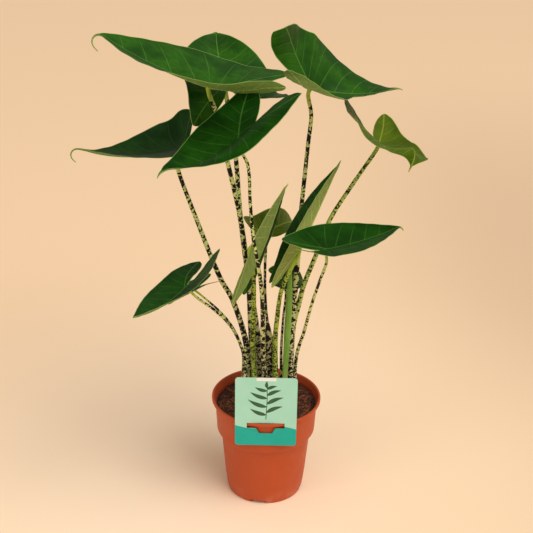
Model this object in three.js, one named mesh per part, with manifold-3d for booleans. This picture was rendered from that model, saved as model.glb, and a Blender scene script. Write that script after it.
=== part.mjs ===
// Potted zebrina alocasia: a plastic nursery pot with soil, a plant card hooked on its rim,
// thirteen arrow-shaped leaves on banded stalks and one rolled new leaf.
// Millimetres, +Z up, front towards -Y. The origin is the middle of the pot's underside.

import * as THREE from "three";
import { mergeVertices } from "three/addons/utils/BufferGeometryUtils.js";
import Module from "manifold-3d";

const wasm = await Module();
wasm.setup();

// Clearance between pieces that touch
const gap = 0.3;

// Pot: radius and height of each turn of its outline, from the foot up
const potHeight = 165;
const potLipRadius = 85;
const potLipInnerRadius = 81;
const potLipHeight = 6;
const potLipRounding = 0.8;
const potWall = 1.6;
const potFloor = 2;
const potFloorInset = 1.5;
const potOutline = [
  [57.4, 0],
  [59.0, 1.2],
  [60.4, 8],
  [61.2, 14],
  [63.6, 34],
  [68.8, 92],
  [69.3, 101],
  [71.2, 106],
  [76.2, 108.5],
  [76.8, 110],
  [79.5, 159],
];
const potSides = 56;

// Drain channels under the pot, which leave four pads and a middle pad to stand on
const channelCount = 4;
const channelWidth = 25;
const channelHeight = 5.8;
const channelStart = 22;
const channelTurn = -9.4;
const drainHoleRadius = 4.5;
const drainHolePlace = 42;
const drainHoleSides = 12;

// Soil
const soilTop = 151;
const soilLump = 1.8;
const soilSides = 36;
const soilRings = [71, 62, 51, 39, 26, 13];
const soilSeed = 41;
const soilClearance = 0.6;
const stalkDepth = 26;
const clearOfSoil = 8;

// Plant card and its slot
const cardWidth = 93;
const cardBottom = 125.5;
const cardTop = 244.5;
const cardThickness = 0.9;
const cardCorner = 5;
const cardPlace = -80.9;
const slotHalfWidth = 28.6;
const slotBottom = 156;
const tongueHoleTop = 14.5;
const tongueHoleFoot = 9.9;
const tongueHoleBottom = 147;
const tongueHalfWidth = 9.4;

// Tongue of the card, seen from the side: depth and drop below the top of the slot along its front
const tongueFront = [[-79.9, 0], [-77.2, 5.3], [-76.4, 8], [-76.2, 11]];
const hingeHeight = 1.8;

// Leaf blades and stalks
const bladeThickness = 0.9;
const ribGrowth = 0.02;
const ribRunOut = 2.4;
const tailHalfWidth = 2.8;
const tailTaper = 0.8;
const baseWidthShare = 0.97;
const rowShares = [0, 0.13, 0.52, 1];
const nearStalkShare = 0.09;
const notchStep = 0.2;
const stalkSides = 8;
const stalkNeck = 9;
const neckLean = 0.6;
const neckShareOfTop = 1.3;
const stalkStep = 42;
const sheathEnd = 0.16;
const ribMiddle = 0.6;

// Shares of a blade's length at its rows of points, ahead of the stalk and in the lobes
const frontShares = [0.94, 0.82, 0.64, 0.44, 0.24];
const lobeShares = [0.3, 0.58, 0.8, 0.94];

const radians = THREE.MathUtils.degToRad;
const smooth = (t) => THREE.MathUtils.smoothstep(t, 0, 1);
const mix = THREE.MathUtils.lerp;

// Materials
function finish(color, roughness, metalness = 0) {
  return new THREE.MeshStandardMaterial({ color, roughness, metalness });
}

const terracottaPlastic = () => finish(0xb5583a, 0.5);
const pottingSoil = () => finish(0x3a2a20, 0.95);
const printedCard = () => finish(0xaedcc0, 0.45);
const leafSkin = () => finish(0x2c4a18, 0.4);
const youngLeafSkin = () => finish(0x5f7222, 0.4);
const bandedStalk = () => finish(0xb9b070, 0.55);
const youngStalk = () => finish(0x7d9a3a, 0.5);
const newLeafSkin = () => finish(0x86a83c, 0.4);

// Leaves. Each blade is held at the place where its stalk meets it and points along its heading and
// pitch, in degrees, turned about its midrib by roll. Pairs give the left half, then the right half.
// Lengths are in millimetres: the front from stalk to tip, the lobes from stalk back to lobe tip.
// fold and edge are the slope of the section at the midrib and at the margin, lobeFold the slope at
// the lobe tips, lobeDrop how far the lobes bend down, and droop, sweep and twist run to the front tip,
// which ends in a thin tail that curls. Stalk points run up from the soil. A notch, half its width in
// millimetres, lets the stalk of an upright blade end between the lobes, in line with the midrib.
const leaves = [
  {
    name: "leaf_01",
    at: [-85, -50, 683],
    heading: 172,
    pitch: 14,
    roll: 4,
    front: 195,
    halfWidth: 88,
    lobes: 103,
    lobeTips: [50, 50],
    joined: 0.05,
    fold: [20, 17],
    edge: [18, 11],
    tipFold: [-8, -7],
    lobeFold: [39, 11],
    lobeDrop: [-7, -23],
    droop: -24,
    sweep: 6,
    twist: -9,
    tail: 32,
    curl: 170,
    stalk: [
      [-20, 9, 190], [-25, 14, 276], [-30, 24, 355], [-36, 24, 405],
      [-44, 16, 465], [-61, -4, 554], [-71, -15, 600], [-77, -23, 636],
    ],
    stalkRadii: [6.3, 3.2],
  },
  {
    name: "leaf_02",
    at: [-66, 60, 652],
    heading: 105,
    pitch: 18,
    roll: 23,
    front: 162,
    halfWidth: 71,
    lobes: 92,
    lobeTips: [50, 57],
    joined: 0.1,
    fold: [-1, 18],
    edge: [-9, 23],
    tipFold: [20, 29],
    lobeFold: [13, 29],
    lobeDrop: [53, -28],
    droop: -3,
    sweep: -14,
    twist: -16,
    tail: 30,
    curl: 60,
    stalk: [
      [-9, 18, 190], [-17, 24, 270], [-27, 36, 330], [-37, 46, 393],
      [-44, 50, 450], [-51, 56, 536], [-57, 60, 582],
    ],
    stalkRadii: [6.3, 3.2],
  },
  {
    name: "leaf_03",
    at: [-44, -95, 624],
    heading: 225,
    pitch: -26,
    roll: 21,
    front: 134,
    halfWidth: 66,
    lobes: 90,
    lobeTips: [56, 54],
    joined: 0.39,
    fold: [29, 23],
    edge: [-31, 38],
    tipFold: [-8, -4],
    lobeFold: [34, 26],
    lobeDrop: [5, -2],
    droop: -43,
    sweep: -8,
    twist: -11,
    tail: 12,
    curl: 66,
    curlStart: 0.83,
    stalk: [
      [-3, -15, 190], [-6, -28, 262], [-9, -62, 375], [-15, -74, 427],
      [-22, -81, 470], [-27, -88, 530], [-31, -92, 587],
    ],
    stalkRadii: [5.4, 2.2],
  },
  {
    name: "leaf_04",
    at: [-138, 30, 563],
    heading: 200,
    pitch: -13,
    roll: 18,
    front: 172,
    halfWidth: 87,
    lobes: 57,
    lobeTips: [46, 43],
    joined: 0.05,
    fold: [1, -8],
    edge: [-8, 62],
    tipFold: [-1, 11],
    lobeFold: [7, -2],
    lobeDrop: [0, -44],
    droop: -43,
    sweep: -11,
    twist: 13,
    tail: 26,
    curl: 160,
    stalk: [
      [-29, -3, 190], [-32, 1, 254], [-54, 10, 327], [-72, 14, 360],
      [-111, 25, 460], [-135, 29, 530],
    ],
    stalkRadii: [6, 3.1],
  },
  {
    name: "leaf_05",
    at: [56, 30, 658],
    heading: 33,
    pitch: -24,
    roll: 41,
    front: 141,
    halfWidth: 85,
    lobes: 100,
    lobeTips: [68, 64],
    joined: 0.13,
    fold: [23, 36],
    edge: [14, 54],
    tipFold: [-35, -18],
    lobeFold: [63, 45],
    lobeDrop: [16, -6],
    droop: -66,
    sweep: -13,
    twist: -30,
    tail: 10,
    curl: 60,
    stalk: [
      [37, -2, 190], [36, 2, 246], [40, 14, 326], [44, 24, 398],
      [46, 30, 450], [49, 31, 501], [54, 31, 572], [57, 30, 618],
    ],
    stalkRadii: [6.2, 2.9],
  },
  {
    name: "leaf_06",
    at: [156, 10, 584],
    heading: -65,
    pitch: -3,
    roll: -34,
    front: 127,
    halfWidth: 60,
    lobes: 81,
    lobeTips: [39, 40],
    joined: 0.11,
    fold: [-12, 8],
    edge: [67, 13],
    tipFold: [-41, -51],
    lobeFold: [-6, 10],
    lobeDrop: [-24, -19],
    droop: -60,
    sweep: -16,
    twist: 24,
    tail: 10,
    curl: 129,
    curlStart: 0.5,
    stalk: [
      [37, 15, 190], [40, 17, 281], [47, 18, 316], [54, 18, 350],
      [71, 18, 401], [89, 16, 459], [117, 14, 512], [148, 11, 566],
    ],
    stalkRadii: [5.6, 2.9],
    young: true,
  },
  {
    name: "leaf_07",
    at: [-23, -25, 437],
    heading: 178,
    pitch: 111,
    roll: -10,
    front: 109,
    halfWidth: 44,
    lobes: 92,
    lobeTips: [29, 28],
    joined: 0.03,
    fold: [17, 17],
    edge: [37, 35],
    lobeFold: [22, 33],
    lobeDrop: [4, 0],
    droop: -12,
    sweep: 0,
    twist: 2,
    tail: 8,
    curl: 0,
    stalk: [
      [-18, -11, 190], [-22, -14, 266], [-21, -20, 340], [-22, -24, 385],
    ],
    stalkRadii: [5.8, 3.1],
    notch: 4.2,
  },
  {
    name: "leaf_08",
    at: [-1, 85, 409],
    heading: 51,
    pitch: 1,
    roll: 26,
    front: 99,
    halfWidth: 33,
    lobes: 73,
    lobeTips: [20, 18],
    joined: 0.12,
    fold: [40, 22],
    edge: [50, 50],
    lobeFold: [34, 50],
    lobeDrop: [-40, -32],
    droop: 40,
    sweep: 14,
    twist: 3,
    tail: 5,
    curl: 0,
    stalk: [
      [5, 8, 190], [3, 14, 254], [-3, 30, 304], [-5, 46, 330],
      [-5, 74, 378],
    ],
    stalkRadii: [7.6, 2.2],
    sheathTop: 0.4,
  },
  {
    name: "leaf_09",
    at: [46, -35, 438],
    heading: 41,
    pitch: 58,
    roll: -43,
    front: 138,
    halfWidth: 50,
    lobes: 69,
    lobeTips: [31, 31],
    joined: 0.04,
    fold: [27, 28],
    edge: [35, 21],
    lobeFold: [15, 32],
    lobeDrop: [-10, -1],
    droop: 0,
    sweep: 2,
    twist: 5,
    tail: 10,
    curl: 0,
    stalk: [
      [14, -12, 190], [12, -16, 273], [14, -23, 311], [19, -29, 361],
      [26, -35, 386], [36, -41, 414],
    ],
    stalkRadii: [5.8, 3],
    notch: 4,
  },
  {
    name: "leaf_10",
    at: [82, -105, 469],
    heading: 21,
    pitch: 2,
    roll: -6,
    front: 121,
    halfWidth: 56,
    lobes: 60,
    lobeTips: [26, 28],
    joined: 0.16,
    fold: [12, 17],
    edge: [28, 1],
    lobeFold: [0, 26],
    lobeDrop: [-22, -14],
    droop: -15,
    sweep: 1,
    twist: 6,
    tail: 10,
    curl: 90,
    stalk: [
      [43, -18, 190], [45, -30, 255], [54, -52, 307], [63, -74, 364],
      [73, -92, 413], [81, -102, 448],
    ],
    stalkRadii: [3.6, 2.1],
  },
  {
    name: "leaf_11",
    at: [-123, -45, 373],
    heading: 234,
    pitch: -18,
    roll: 22,
    front: 107,
    halfWidth: 46,
    lobes: 70,
    lobeTips: [33, 32],
    joined: 0.08,
    fold: [4, 18],
    edge: [20, 20],
    tipFold: [19, 7],
    lobeFold: [4, 24],
    lobeDrop: [-18, 18],
    droop: -30,
    sweep: 5,
    twist: -9,
    tail: 4,
    curl: 20,
    stalk: [
      [-33, -16, 190], [-34, -17, 240], [-53, -24, 296], [-78, -33, 330],
      [-105, -41, 356],
    ],
    stalkRadii: [3.4, 2],
  },
  {
    name: "leaf_12",
    at: [-111, -10, 354],
    heading: 212,
    pitch: -14,
    roll: 11,
    front: 46,
    halfWidth: 22,
    lobes: 38,
    lobeTips: [14, 14],
    joined: 0.16,
    fold: [16, 16],
    edge: [17, 15],
    lobeFold: [17, 18],
    lobeDrop: [14, 0],
    droop: 8,
    sweep: 0,
    twist: 0,
    tail: 4,
    curl: 0,
    stalk: [
      [-37, 6, 190], [-38, 6, 240], [-54, 2, 285], [-74, -2, 314],
      [-98, -7, 340],
    ],
    stalkRadii: [2.8, 1.6],
  },
  {
    name: "leaf_13",
    at: [26, 35, 353],
    heading: 34,
    pitch: -13,
    roll: 42,
    front: 50,
    halfWidth: 23,
    lobes: 31,
    lobeTips: [13, 13],
    joined: 0.16,
    fold: [21, 12],
    edge: [19, 9],
    lobeFold: [24, 19],
    lobeDrop: [2, -3],
    droop: 39,
    sweep: 0,
    twist: 0,
    tail: 4,
    curl: 0,
    stalk: [
      [23, 5, 190], [22, 10, 238], [24, 22, 290], [27, 33, 330],
    ],
    stalkRadii: [3.2, 1.7],
  },
];

// New leaf, still rolled: points up its middle, shares of its length with a ring of points, and its
// radius at some of them
const spearPath = [[28, -15, 190], [30, -13, 271], [32, -8, 338], [33, -4, 386], [36, -2, 404]];
const spearShares = [0, 0.14, 0.3, 0.45, 0.6, 0.72, 0.82, 0.9, 0.96, 1];
const spearRadii = [[0, 4.6], [0.35, 4.2], [0.6, 5.2], [0.8, 4.6], [0.95, 1.8], [1, 0.5]];

// Solids from rings of points: a fan at each end and a band of triangles between two rings.
function closedFromRings(start, rings, end) {
  const sides = rings[0].length;
  const points = [start, ...rings.flat(), end];
  const last = points.length - 1;
  const faces = [];
  for (let side = 0; side < sides; side++) {
    const next = (side + 1) % sides;
    faces.push(0, 1 + next, 1 + side);
    for (let ring = 0; ring < rings.length - 1; ring++) {
      const low = 1 + ring * sides;
      const high = low + sides;
      faces.push(low + side, low + next, high + next);
      faces.push(low + side, high + next, high + side);
    }
    const top = 1 + (rings.length - 1) * sides;
    faces.push(last, top + side, top + next);
  }
  return indexedGeometry(points, faces);
}

function indexedGeometry(points, faces) {
  const geometry = new THREE.BufferGeometry();
  const coordinates = points.flatMap((point) => point.toArray());
  geometry.setAttribute("position", new THREE.Float32BufferAttribute(coordinates, 3));
  geometry.setIndex(faces);
  return geometry;
}

// Joins and cuts
function solid(geometry) {
  const bare = geometry.clone();
  bare.deleteAttribute("normal");
  bare.deleteAttribute("uv");
  const merged = mergeVertices(bare, 1e-4);
  const mesh = new wasm.Mesh({
    numProp: 3,
    vertProperties: new Float32Array(merged.attributes.position.array),
    triVerts: new Uint32Array(merged.index.array),
  });
  return new wasm.Manifold(mesh);
}

function geometryOf(manifold) {
  const mesh = manifold.getMesh();
  const geometry = new THREE.BufferGeometry();
  geometry.setAttribute("position", new THREE.BufferAttribute(new Float32Array(mesh.vertProperties), 3));
  geometry.setIndex(new THREE.BufferAttribute(new Uint32Array(mesh.triVerts), 1));
  return geometry;
}

// Round solid about +Z from radius and height pairs that start and end on the axis
function turned(profile, sides) {
  const points = profile.map(([radius, height]) => new THREE.Vector2(radius, height));
  return solid(new THREE.LatheGeometry(points, sides).rotateX(Math.PI / 2));
}

// Pot
function potInnerOutline(clearance) {
  const wall = potWall + clearance;
  const walls = potOutline.slice(2).map(([radius, height]) => [radius - wall, height]);
  const floorHeight = potFloor + clearance;
  const [footRadius] = potOutline[1];
  return [[0, floorHeight], [footRadius - wall - potFloorInset, floorHeight], ...walls];
}

function channelBoxes(width, height, start) {
  const boxes = [];
  for (let i = 0; i < channelCount; i++) {
    const length = potLipRadius - start;
    const box = new THREE.BoxGeometry(width, length, 2 * height);
    box.translate(0, -start - length / 2, 0);
    box.rotateZ(radians(channelTurn + (i * 360) / channelCount));
    boxes.push(solid(box));
  }
  return boxes;
}

function bridges(clearance) {
  const width = channelWidth + 2 * potFloor + 2 * clearance;
  const height = channelHeight + potFloor + clearance;
  return channelBoxes(width, height, channelStart - potFloor - clearance);
}

function potGeometry() {
  const lipFoot = potHeight - potLipHeight;
  const edge = potLipRounding;
  const lip = [
    [potLipRadius - edge, lipFoot],
    [potLipRadius, lipFoot + edge],
    [potLipRadius, potHeight - 1.8 * edge],
    [potLipRadius - edge, potHeight - 0.4 * edge],
    [potLipRadius - 2.4 * edge, potHeight],
    [0, potHeight],
  ];
  let pot = turned([[0, 0], ...potOutline, ...lip], potSides);
  const mouth = [
    [potLipInnerRadius, potHeight - edge],
    [potLipInnerRadius + edge, potHeight],
    [potLipInnerRadius + edge, potHeight + 1],
    [0, potHeight + 1],
  ];
  let hollow = turned([...potInnerOutline(0), ...mouth], potSides);
  for (const bridge of bridges(0)) {
    hollow = hollow.subtract(bridge);
  }
  pot = pot.subtract(hollow);
  for (const channel of channelBoxes(channelWidth, channelHeight, channelStart)) {
    pot = pot.subtract(channel);
  }
  for (let i = 0; i < channelCount; i++) {
    const through = 3 * channelHeight;
    const hole = new THREE.CylinderGeometry(drainHoleRadius, drainHoleRadius, through, drainHoleSides);
    hole.rotateX(Math.PI / 2);
    hole.translate(0, -drainHolePlace, 0);
    hole.rotateZ(radians(channelTurn + (i * 360) / channelCount));
    pot = pot.subtract(solid(hole));
  }
  return geometryOf(pot);
}

// Soil: lumpy on top, clear of the pot all round, with a plain hole for each stalk
function seeded(seed) {
  let state = seed;
  return () => {
    state = (state * 16807) % 2147483647;
    return state / 2147483647;
  };
}

function soilSolid() {
  const random = seeded(soilSeed);
  const ring = (radius, height, lump) => {
    const points = [];
    for (let i = 0; i < soilSides; i++) {
      const angle = (i * 2 * Math.PI) / soilSides;
      const z = height + lump * (2 * random() - 1);
      points.push(new THREE.Vector3(radius * Math.cos(angle), radius * Math.sin(angle), z));
    }
    return points;
  };
  const [[, floorHeight], ...inner] = potInnerOutline(soilClearance);
  const rings = [];
  for (const [radius, height] of inner.filter(([, height]) => height < soilTop)) {
    rings.push(ring(radius, height, 0));
  }
  const [mouthRadius] = inner[inner.length - 1];
  rings.push(ring(mouthRadius - gap, soilTop, soilLump / 2));
  for (const radius of soilRings) {
    rings.push(ring(radius, soilTop, soilLump));
  }
  const start = new THREE.Vector3(0, 0, floorHeight);
  const end = new THREE.Vector3(0, 0, soilTop);
  let soil = solid(closedFromRings(start, rings, end));
  for (const bridge of bridges(gap)) {
    soil = soil.subtract(bridge);
  }
  return soil;
}

// Plant card: a flat card with a slot that the pot's lip pokes through, and a tongue bent down inside
function cardGeometry() {
  const half = cardWidth / 2;
  const outline = new THREE.Shape();
  outline.moveTo(-half + cardCorner, cardBottom);
  outline.lineTo(half - cardCorner, cardBottom);
  outline.absarc(half - cardCorner, cardBottom + cardCorner, cardCorner, -Math.PI / 2, 0);
  outline.absarc(half - cardCorner, cardTop - cardCorner, cardCorner, 0, Math.PI / 2);
  outline.absarc(-half + cardCorner, cardTop - cardCorner, cardCorner, Math.PI / 2, Math.PI);
  outline.absarc(-half + cardCorner, cardBottom + cardCorner, cardCorner, Math.PI, 1.5 * Math.PI);
  const slotTop = potHeight + gap;
  outline.holes.push(polygonPath([
    [-slotHalfWidth, slotTop],
    [-slotHalfWidth, slotBottom],
    [-tongueHoleTop, slotBottom],
    [-tongueHoleFoot, tongueHoleBottom],
    [tongueHoleFoot, tongueHoleBottom],
    [tongueHoleTop, slotBottom],
    [slotHalfWidth, slotBottom],
    [slotHalfWidth, slotTop],
  ]));
  const plateOptions = { depth: cardThickness, bevelEnabled: false, curveSegments: 4 };
  const plate = new THREE.ExtrudeGeometry(outline, plateOptions);
  plate.rotateX(Math.PI / 2);
  plate.translate(0, cardPlace + cardThickness / 2, 0);
  const front = cardPlace - cardThickness / 2;
  const faceOn = tongueFront.map(([depth, drop]) => [depth, slotTop - drop]);
  const behind = faceOn.map(([depth, height]) => [depth + cardThickness, height]).reverse();
  const tongue = polygonShape([
    [front, slotTop + gap],
    ...faceOn,
    ...behind,
    [cardPlace + cardThickness, slotTop + hingeHeight],
    [front, slotTop + hingeHeight],
  ]);
  const strip = new THREE.ExtrudeGeometry(tongue, { depth: 2 * tongueHalfWidth, bevelEnabled: false });
  strip.translate(0, 0, -tongueHalfWidth);
  const depthAndHeightAlongYZ = new THREE.Matrix4().set(0, 0, 1, 0, 1, 0, 0, 0, 0, 1, 0, 0, 0, 0, 0, 1);
  strip.applyMatrix4(depthAndHeightAlongYZ);
  return geometryOf(solid(plate).add(solid(strip)));
}

function polygonPath(points) {
  return new THREE.Path(points.map(([x, y]) => new THREE.Vector2(x, y)));
}

function polygonShape(points) {
  return new THREE.Shape(points.map(([x, y]) => new THREE.Vector2(x, y)));
}

// Blade outline in flat coordinates: x runs forward of the stalk, y out from the midrib
function frontWidth(leaf, x) {
  const share = Math.min(1, x / (leaf.front - leaf.tail));
  const body = leaf.halfWidth * (baseWidthShare + 0.1 * share - 0.07 * share ** 2) * (1 - share ** 1.75);
  const tipward = THREE.MathUtils.clamp((leaf.front - x) / leaf.tail, 0, 1);
  const tail = tailHalfWidth * tipward ** tailTaper * smooth(share);
  return body + tail;
}

function lobeOuter(leaf, side, share) {
  const tip = leaf.lobeTips[side];
  return tip + (leaf.halfWidth * baseWidthShare - tip) * Math.max(0, 1 - share ** 2) ** 0.62;
}

function lobeInner(leaf, side, share) {
  const open = THREE.MathUtils.clamp((share - leaf.joined) / (1 - leaf.joined), 0, 1);
  const inner = leaf.lobeTips[side] * (1 - Math.sqrt(1 - open));
  return leaf.notch && share > leaf.joined ? Math.max(inner, leaf.notch) : inner;
}

// Spine of a blade: how it slopes and turns at x, and where that brings it
function spineAngles(leaf, side, x) {
  if (x < 0) {
    const behind = (-x / leaf.lobes - leaf.joined) / 0.5;
    return { slope: -radians(leaf.lobeDrop[side]) * smooth(behind), turn: 0 };
  }
  const share = x / leaf.front;
  const curlStart = leaf.curlStart ?? 1 - (1.3 * leaf.tail) / leaf.front;
  const curled = smooth((share - curlStart) / (1 - curlStart)) ** 0.8;
  return { slope: radians(leaf.droop * share + leaf.curl * curled), turn: radians(leaf.sweep * share) };
}

function spineAt(leaf, side, x) {
  const steps = 60;
  const step = x / steps;
  const place = new THREE.Vector3();
  for (let i = 0; i < steps; i++) {
    const { slope, turn } = spineAngles(leaf, side, (i + 0.5) * step);
    const along = Math.cos(slope) * step;
    place.x += along * Math.cos(turn);
    place.y += along * Math.sin(turn);
    place.z -= Math.sin(slope) * step;
  }
  return place;
}

function bladeAxes(leaf) {
  const heading = radians(leaf.heading);
  const pitch = radians(leaf.pitch);
  const roll = radians(leaf.roll);
  const level = Math.cos(pitch);
  const forward = new THREE.Vector3(Math.cos(heading) * level, Math.sin(heading) * level, Math.sin(pitch));
  const left = new THREE.Vector3(-Math.sin(heading), Math.cos(heading), 0);
  left.applyAxisAngle(forward, roll);
  return { forward, left, up: new THREE.Vector3().crossVectors(forward, left) };
}

// Flat coordinates to the place on the bent blade. side 0 is the left half, 1 the right half.
function bladePoint(leaf, side, x, y) {
  const spine = spineAt(leaf, side, x);
  const { slope, turn } = spineAngles(leaf, side, x);
  const behind = Math.max(0, -x / leaf.lobes - leaf.joined) / (1 - leaf.joined);
  const folded = mix(leaf.fold[side], leaf.lobeFold[side], smooth(behind));
  const start = radians(folded + (leaf.tipFold?.[side] ?? 0) * smooth(x / leaf.front));
  const bend = radians(leaf.edge[side] - leaf.fold[side]) / leaf.halfWidth || 1e-6;
  const out = (Math.sin(start + bend * y) - Math.sin(start)) / bend;
  const rise = (Math.cos(start) - Math.cos(start + bend * y)) / bend;
  const twist = radians(leaf.twist) * Math.max(0, x / leaf.front);
  const signed = side === 0 ? out : -out;
  const sideways = signed * Math.cos(twist) - rise * Math.sin(twist);
  const upward = signed * Math.sin(twist) + rise * Math.cos(twist);
  const lean = x < 0 ? 0 : slope;
  const forwardOffset = spine.x + upward * Math.sin(lean) * Math.cos(turn) - sideways * Math.sin(turn);
  const leftOffset = spine.y + upward * Math.sin(lean) * Math.sin(turn) + sideways * Math.cos(turn);
  const upOffset = spine.z + upward * Math.cos(lean);
  const { forward, left, up } = bladeAxes(leaf);
  return new THREE.Vector3(...leaf.at)
    .addScaledVector(forward, forwardOffset)
    .addScaledVector(left, leftOffset)
    .addScaledVector(up, upOffset);
}

// Thickness of the midrib under the blade, which grows with the blade and runs out both ways
function ribThickness(leaf) {
  return bladeThickness + ribGrowth * leaf.halfWidth;
}

function nearStalk(leaf) {
  return nearStalkShare * leaf.halfWidth;
}

function ribAt(leaf, x) {
  const full = ribThickness(leaf);
  if (x >= 0) {
    const tipward = THREE.MathUtils.clamp((leaf.front - x) / leaf.tail, 0, 1);
    const tapered = mix(full, ribRunOut, Math.min(1, x / (leaf.front - leaf.tail)));
    return Math.max(bladeThickness, tapered * tipward ** tailTaper);
  }
  if (leaf.notch) {
    return full;
  }
  return mix(full, bladeThickness, Math.min(1, -x / (leaf.joined * leaf.lobes + nearStalk(leaf))));
}

// Where the two lobes part
function sinusAt(leaf) {
  const joined = leaf.joined * leaf.lobes;
  return leaf.notch ? -joined : -Math.max(joined, nearStalk(leaf) + 1);
}

// Rows of points across each half, from the front tip to the lobe tip
function stations(leaf) {
  const body = leaf.front - leaf.tail;
  const list = [];
  list.push({ x: leaf.front, shares: [0] });
  list.push({ x: body + 0.62 * leaf.tail, shares: [0, 1] });
  list.push({ x: body + 0.3 * leaf.tail, shares: [0, 1] });
  list.push({ x: body, shares: [0, 1] });
  for (const share of frontShares) {
    list.push({ x: share * body, shares: rowShares });
  }
  const near = nearStalk(leaf);
  const sinus = sinusAt(leaf);
  const middle = leaf.notch ? [near, 0, sinus, sinus - notchStep] : [near, 0, -near, sinus];
  for (const x of middle) {
    list.push({ x, shares: rowShares });
  }
  const rest = leaf.lobes + sinus;
  for (const share of lobeShares) {
    list.push({ x: sinus - share * rest, shares: rowShares });
  }
  list.push({ x: -leaf.lobes, shares: [1] });
  return { list, sinus };
}

function bladeSheet(leaf) {
  const { list, sinus } = stations(leaf);
  const points = [];
  const depths = [];
  const faces = [];
  const midline = new Map();
  for (const side of [0, 1]) {
    let before = null;
    for (const { x, shares } of list) {
      const ids = [];
      const behind = -x / leaf.lobes;
      const outer = x >= 0 ? frontWidth(leaf, x) : lobeOuter(leaf, side, behind);
      const inner = x >= sinus ? 0 : lobeInner(leaf, side, behind);
      for (const share of shares) {
        const onMidline = share === 0 && x >= sinus;
        if (onMidline && midline.has(x)) {
          ids.push(midline.get(x));
          continue;
        }
        if (onMidline) {
          midline.set(x, points.length);
        }
        ids.push(points.length);
        points.push(bladePoint(leaf, side, x, mix(inner, outer, share)));
        depths.push(onMidline ? ribAt(leaf, x) : bladeThickness);
      }
      const row = { ids, shares };
      if (before) {
        stitch(before, row, side === 0, faces);
      }
      before = row;
    }
  }
  return { points, depths, faces };
}

// Triangles between two rows that may differ in their number of points
function stitch(first, second, turnOver, faces) {
  let i = 0;
  let j = 0;
  while (i < first.ids.length - 1 || j < second.ids.length - 1) {
    const nextFirst = i + 1 < first.ids.length ? first.shares[i + 1] : Infinity;
    const nextSecond = j + 1 < second.ids.length ? second.shares[j + 1] : Infinity;
    if (nextFirst <= nextSecond) {
      i++;
      addFace(faces, first.ids[i - 1], second.ids[j], first.ids[i], turnOver);
    } else {
      j++;
      addFace(faces, first.ids[i], second.ids[j - 1], second.ids[j], turnOver);
    }
  }
}

function addFace(faces, a, b, c, turnOver) {
  if (turnOver) {
    faces.push(a, c, b);
  } else {
    faces.push(a, b, c);
  }
}

// Blade as a slab: the sheet on top, the same triangles underneath and a wall round the margin
function bladeGeometry(leaf) {
  const { points, depths, faces } = bladeSheet(leaf);
  const sheet = indexedGeometry(points, faces);
  sheet.computeVertexNormals();
  const normal = new THREE.Vector3();
  const under = points.map((point, i) => {
    normal.fromBufferAttribute(sheet.attributes.normal, i);
    return point.clone().addScaledVector(normal, -depths[i]);
  });
  const count = points.length;
  const all = [...faces];
  const edges = new Set();
  for (let i = 0; i < faces.length; i += 3) {
    const corners = [faces[i], faces[i + 1], faces[i + 2]];
    all.push(corners[0] + count, corners[2] + count, corners[1] + count);
    for (let k = 0; k < 3; k++) {
      edges.add(`${corners[k]} ${corners[(k + 1) % 3]}`);
    }
  }
  for (const edge of edges) {
    const [a, b] = edge.split(" ").map(Number);
    if (!edges.has(`${b} ${a}`)) {
      all.push(b, a, a + count);
      all.push(b, a + count, b + count);
    }
  }
  return indexedGeometry([...points, ...under], all);
}

// Stalk: a tapered tube from its hole in the soil to the blade, whose underside its top follows at the
// clearance, or to the notch between the lobes. grow widens it for the hole.
function stalkEnd(leaf) {
  const { forward, up } = bladeAxes(leaf);
  const end = new THREE.Vector3(...leaf.at);
  if (leaf.notch) {
    end.addScaledVector(forward, sinusAt(leaf) - gap - notchStep);
    return end.addScaledVector(up, -ribMiddle * ribThickness(leaf));
  }
  return end.addScaledVector(up, -ribThickness(leaf) - gap);
}

function stalkCurve(leaf) {
  const { forward, up } = bladeAxes(leaf);
  const at = new THREE.Vector3(...leaf.at);
  const route = leaf.stalk.map((point) => new THREE.Vector3(...point));
  const foot = route[0].clone().setZ(soilTop - stalkDepth);
  const end = stalkEnd(leaf);
  if (leaf.notch) {
    const neck = end.clone().addScaledVector(forward, -stalkNeck);
    return new THREE.CatmullRomCurve3([foot, ...route, neck, end], false, "centripetal");
  }
  const incoming = at.clone().sub(route[route.length - 1]).projectOnPlane(up).normalize();
  const neck = end.clone().addScaledVector(up, -stalkNeck).addScaledVector(incoming, -neckLean * stalkNeck);
  return new THREE.CatmullRomCurve3([foot, ...route, neck, end], false, "centripetal");
}

function stalkRadius(leaf, share) {
  const [foot, top] = leaf.stalkRadii;
  if (leaf.sheathTop) {
    return mix(foot, top, smooth((share - leaf.sheathTop) / sheathEnd));
  }
  return mix(top, foot, (1 - share) ** 1.8);
}

function stalkRings(leaf, grow) {
  const curve = stalkCurve(leaf);
  const length = curve.getLength();
  const neckShare = 1 - (neckShareOfTop * stalkNeck) / length;
  const steps = Math.max(6, Math.round(length / stalkStep));
  const shares = [];
  for (let i = 0; i <= steps; i++) {
    shares.push((i / steps) * neckShare);
  }
  shares.push(mix(neckShare, 1, 0.5));
  if (leaf.notch) {
    shares.push(1);
  }
  const { forward } = bladeAxes(leaf);
  const rings = [];
  let aim = forward.clone();
  for (const share of shares.reverse()) {
    const middle = curve.getPointAt(share);
    const tangent = curve.getTangentAt(share);
    aim = aim.projectOnPlane(tangent).normalize();
    const across = new THREE.Vector3().crossVectors(tangent, aim);
    const radius = stalkRadius(leaf, share) + grow;
    rings.push(circle(middle, aim, across, radius));
  }
  return rings.reverse();
}

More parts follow.
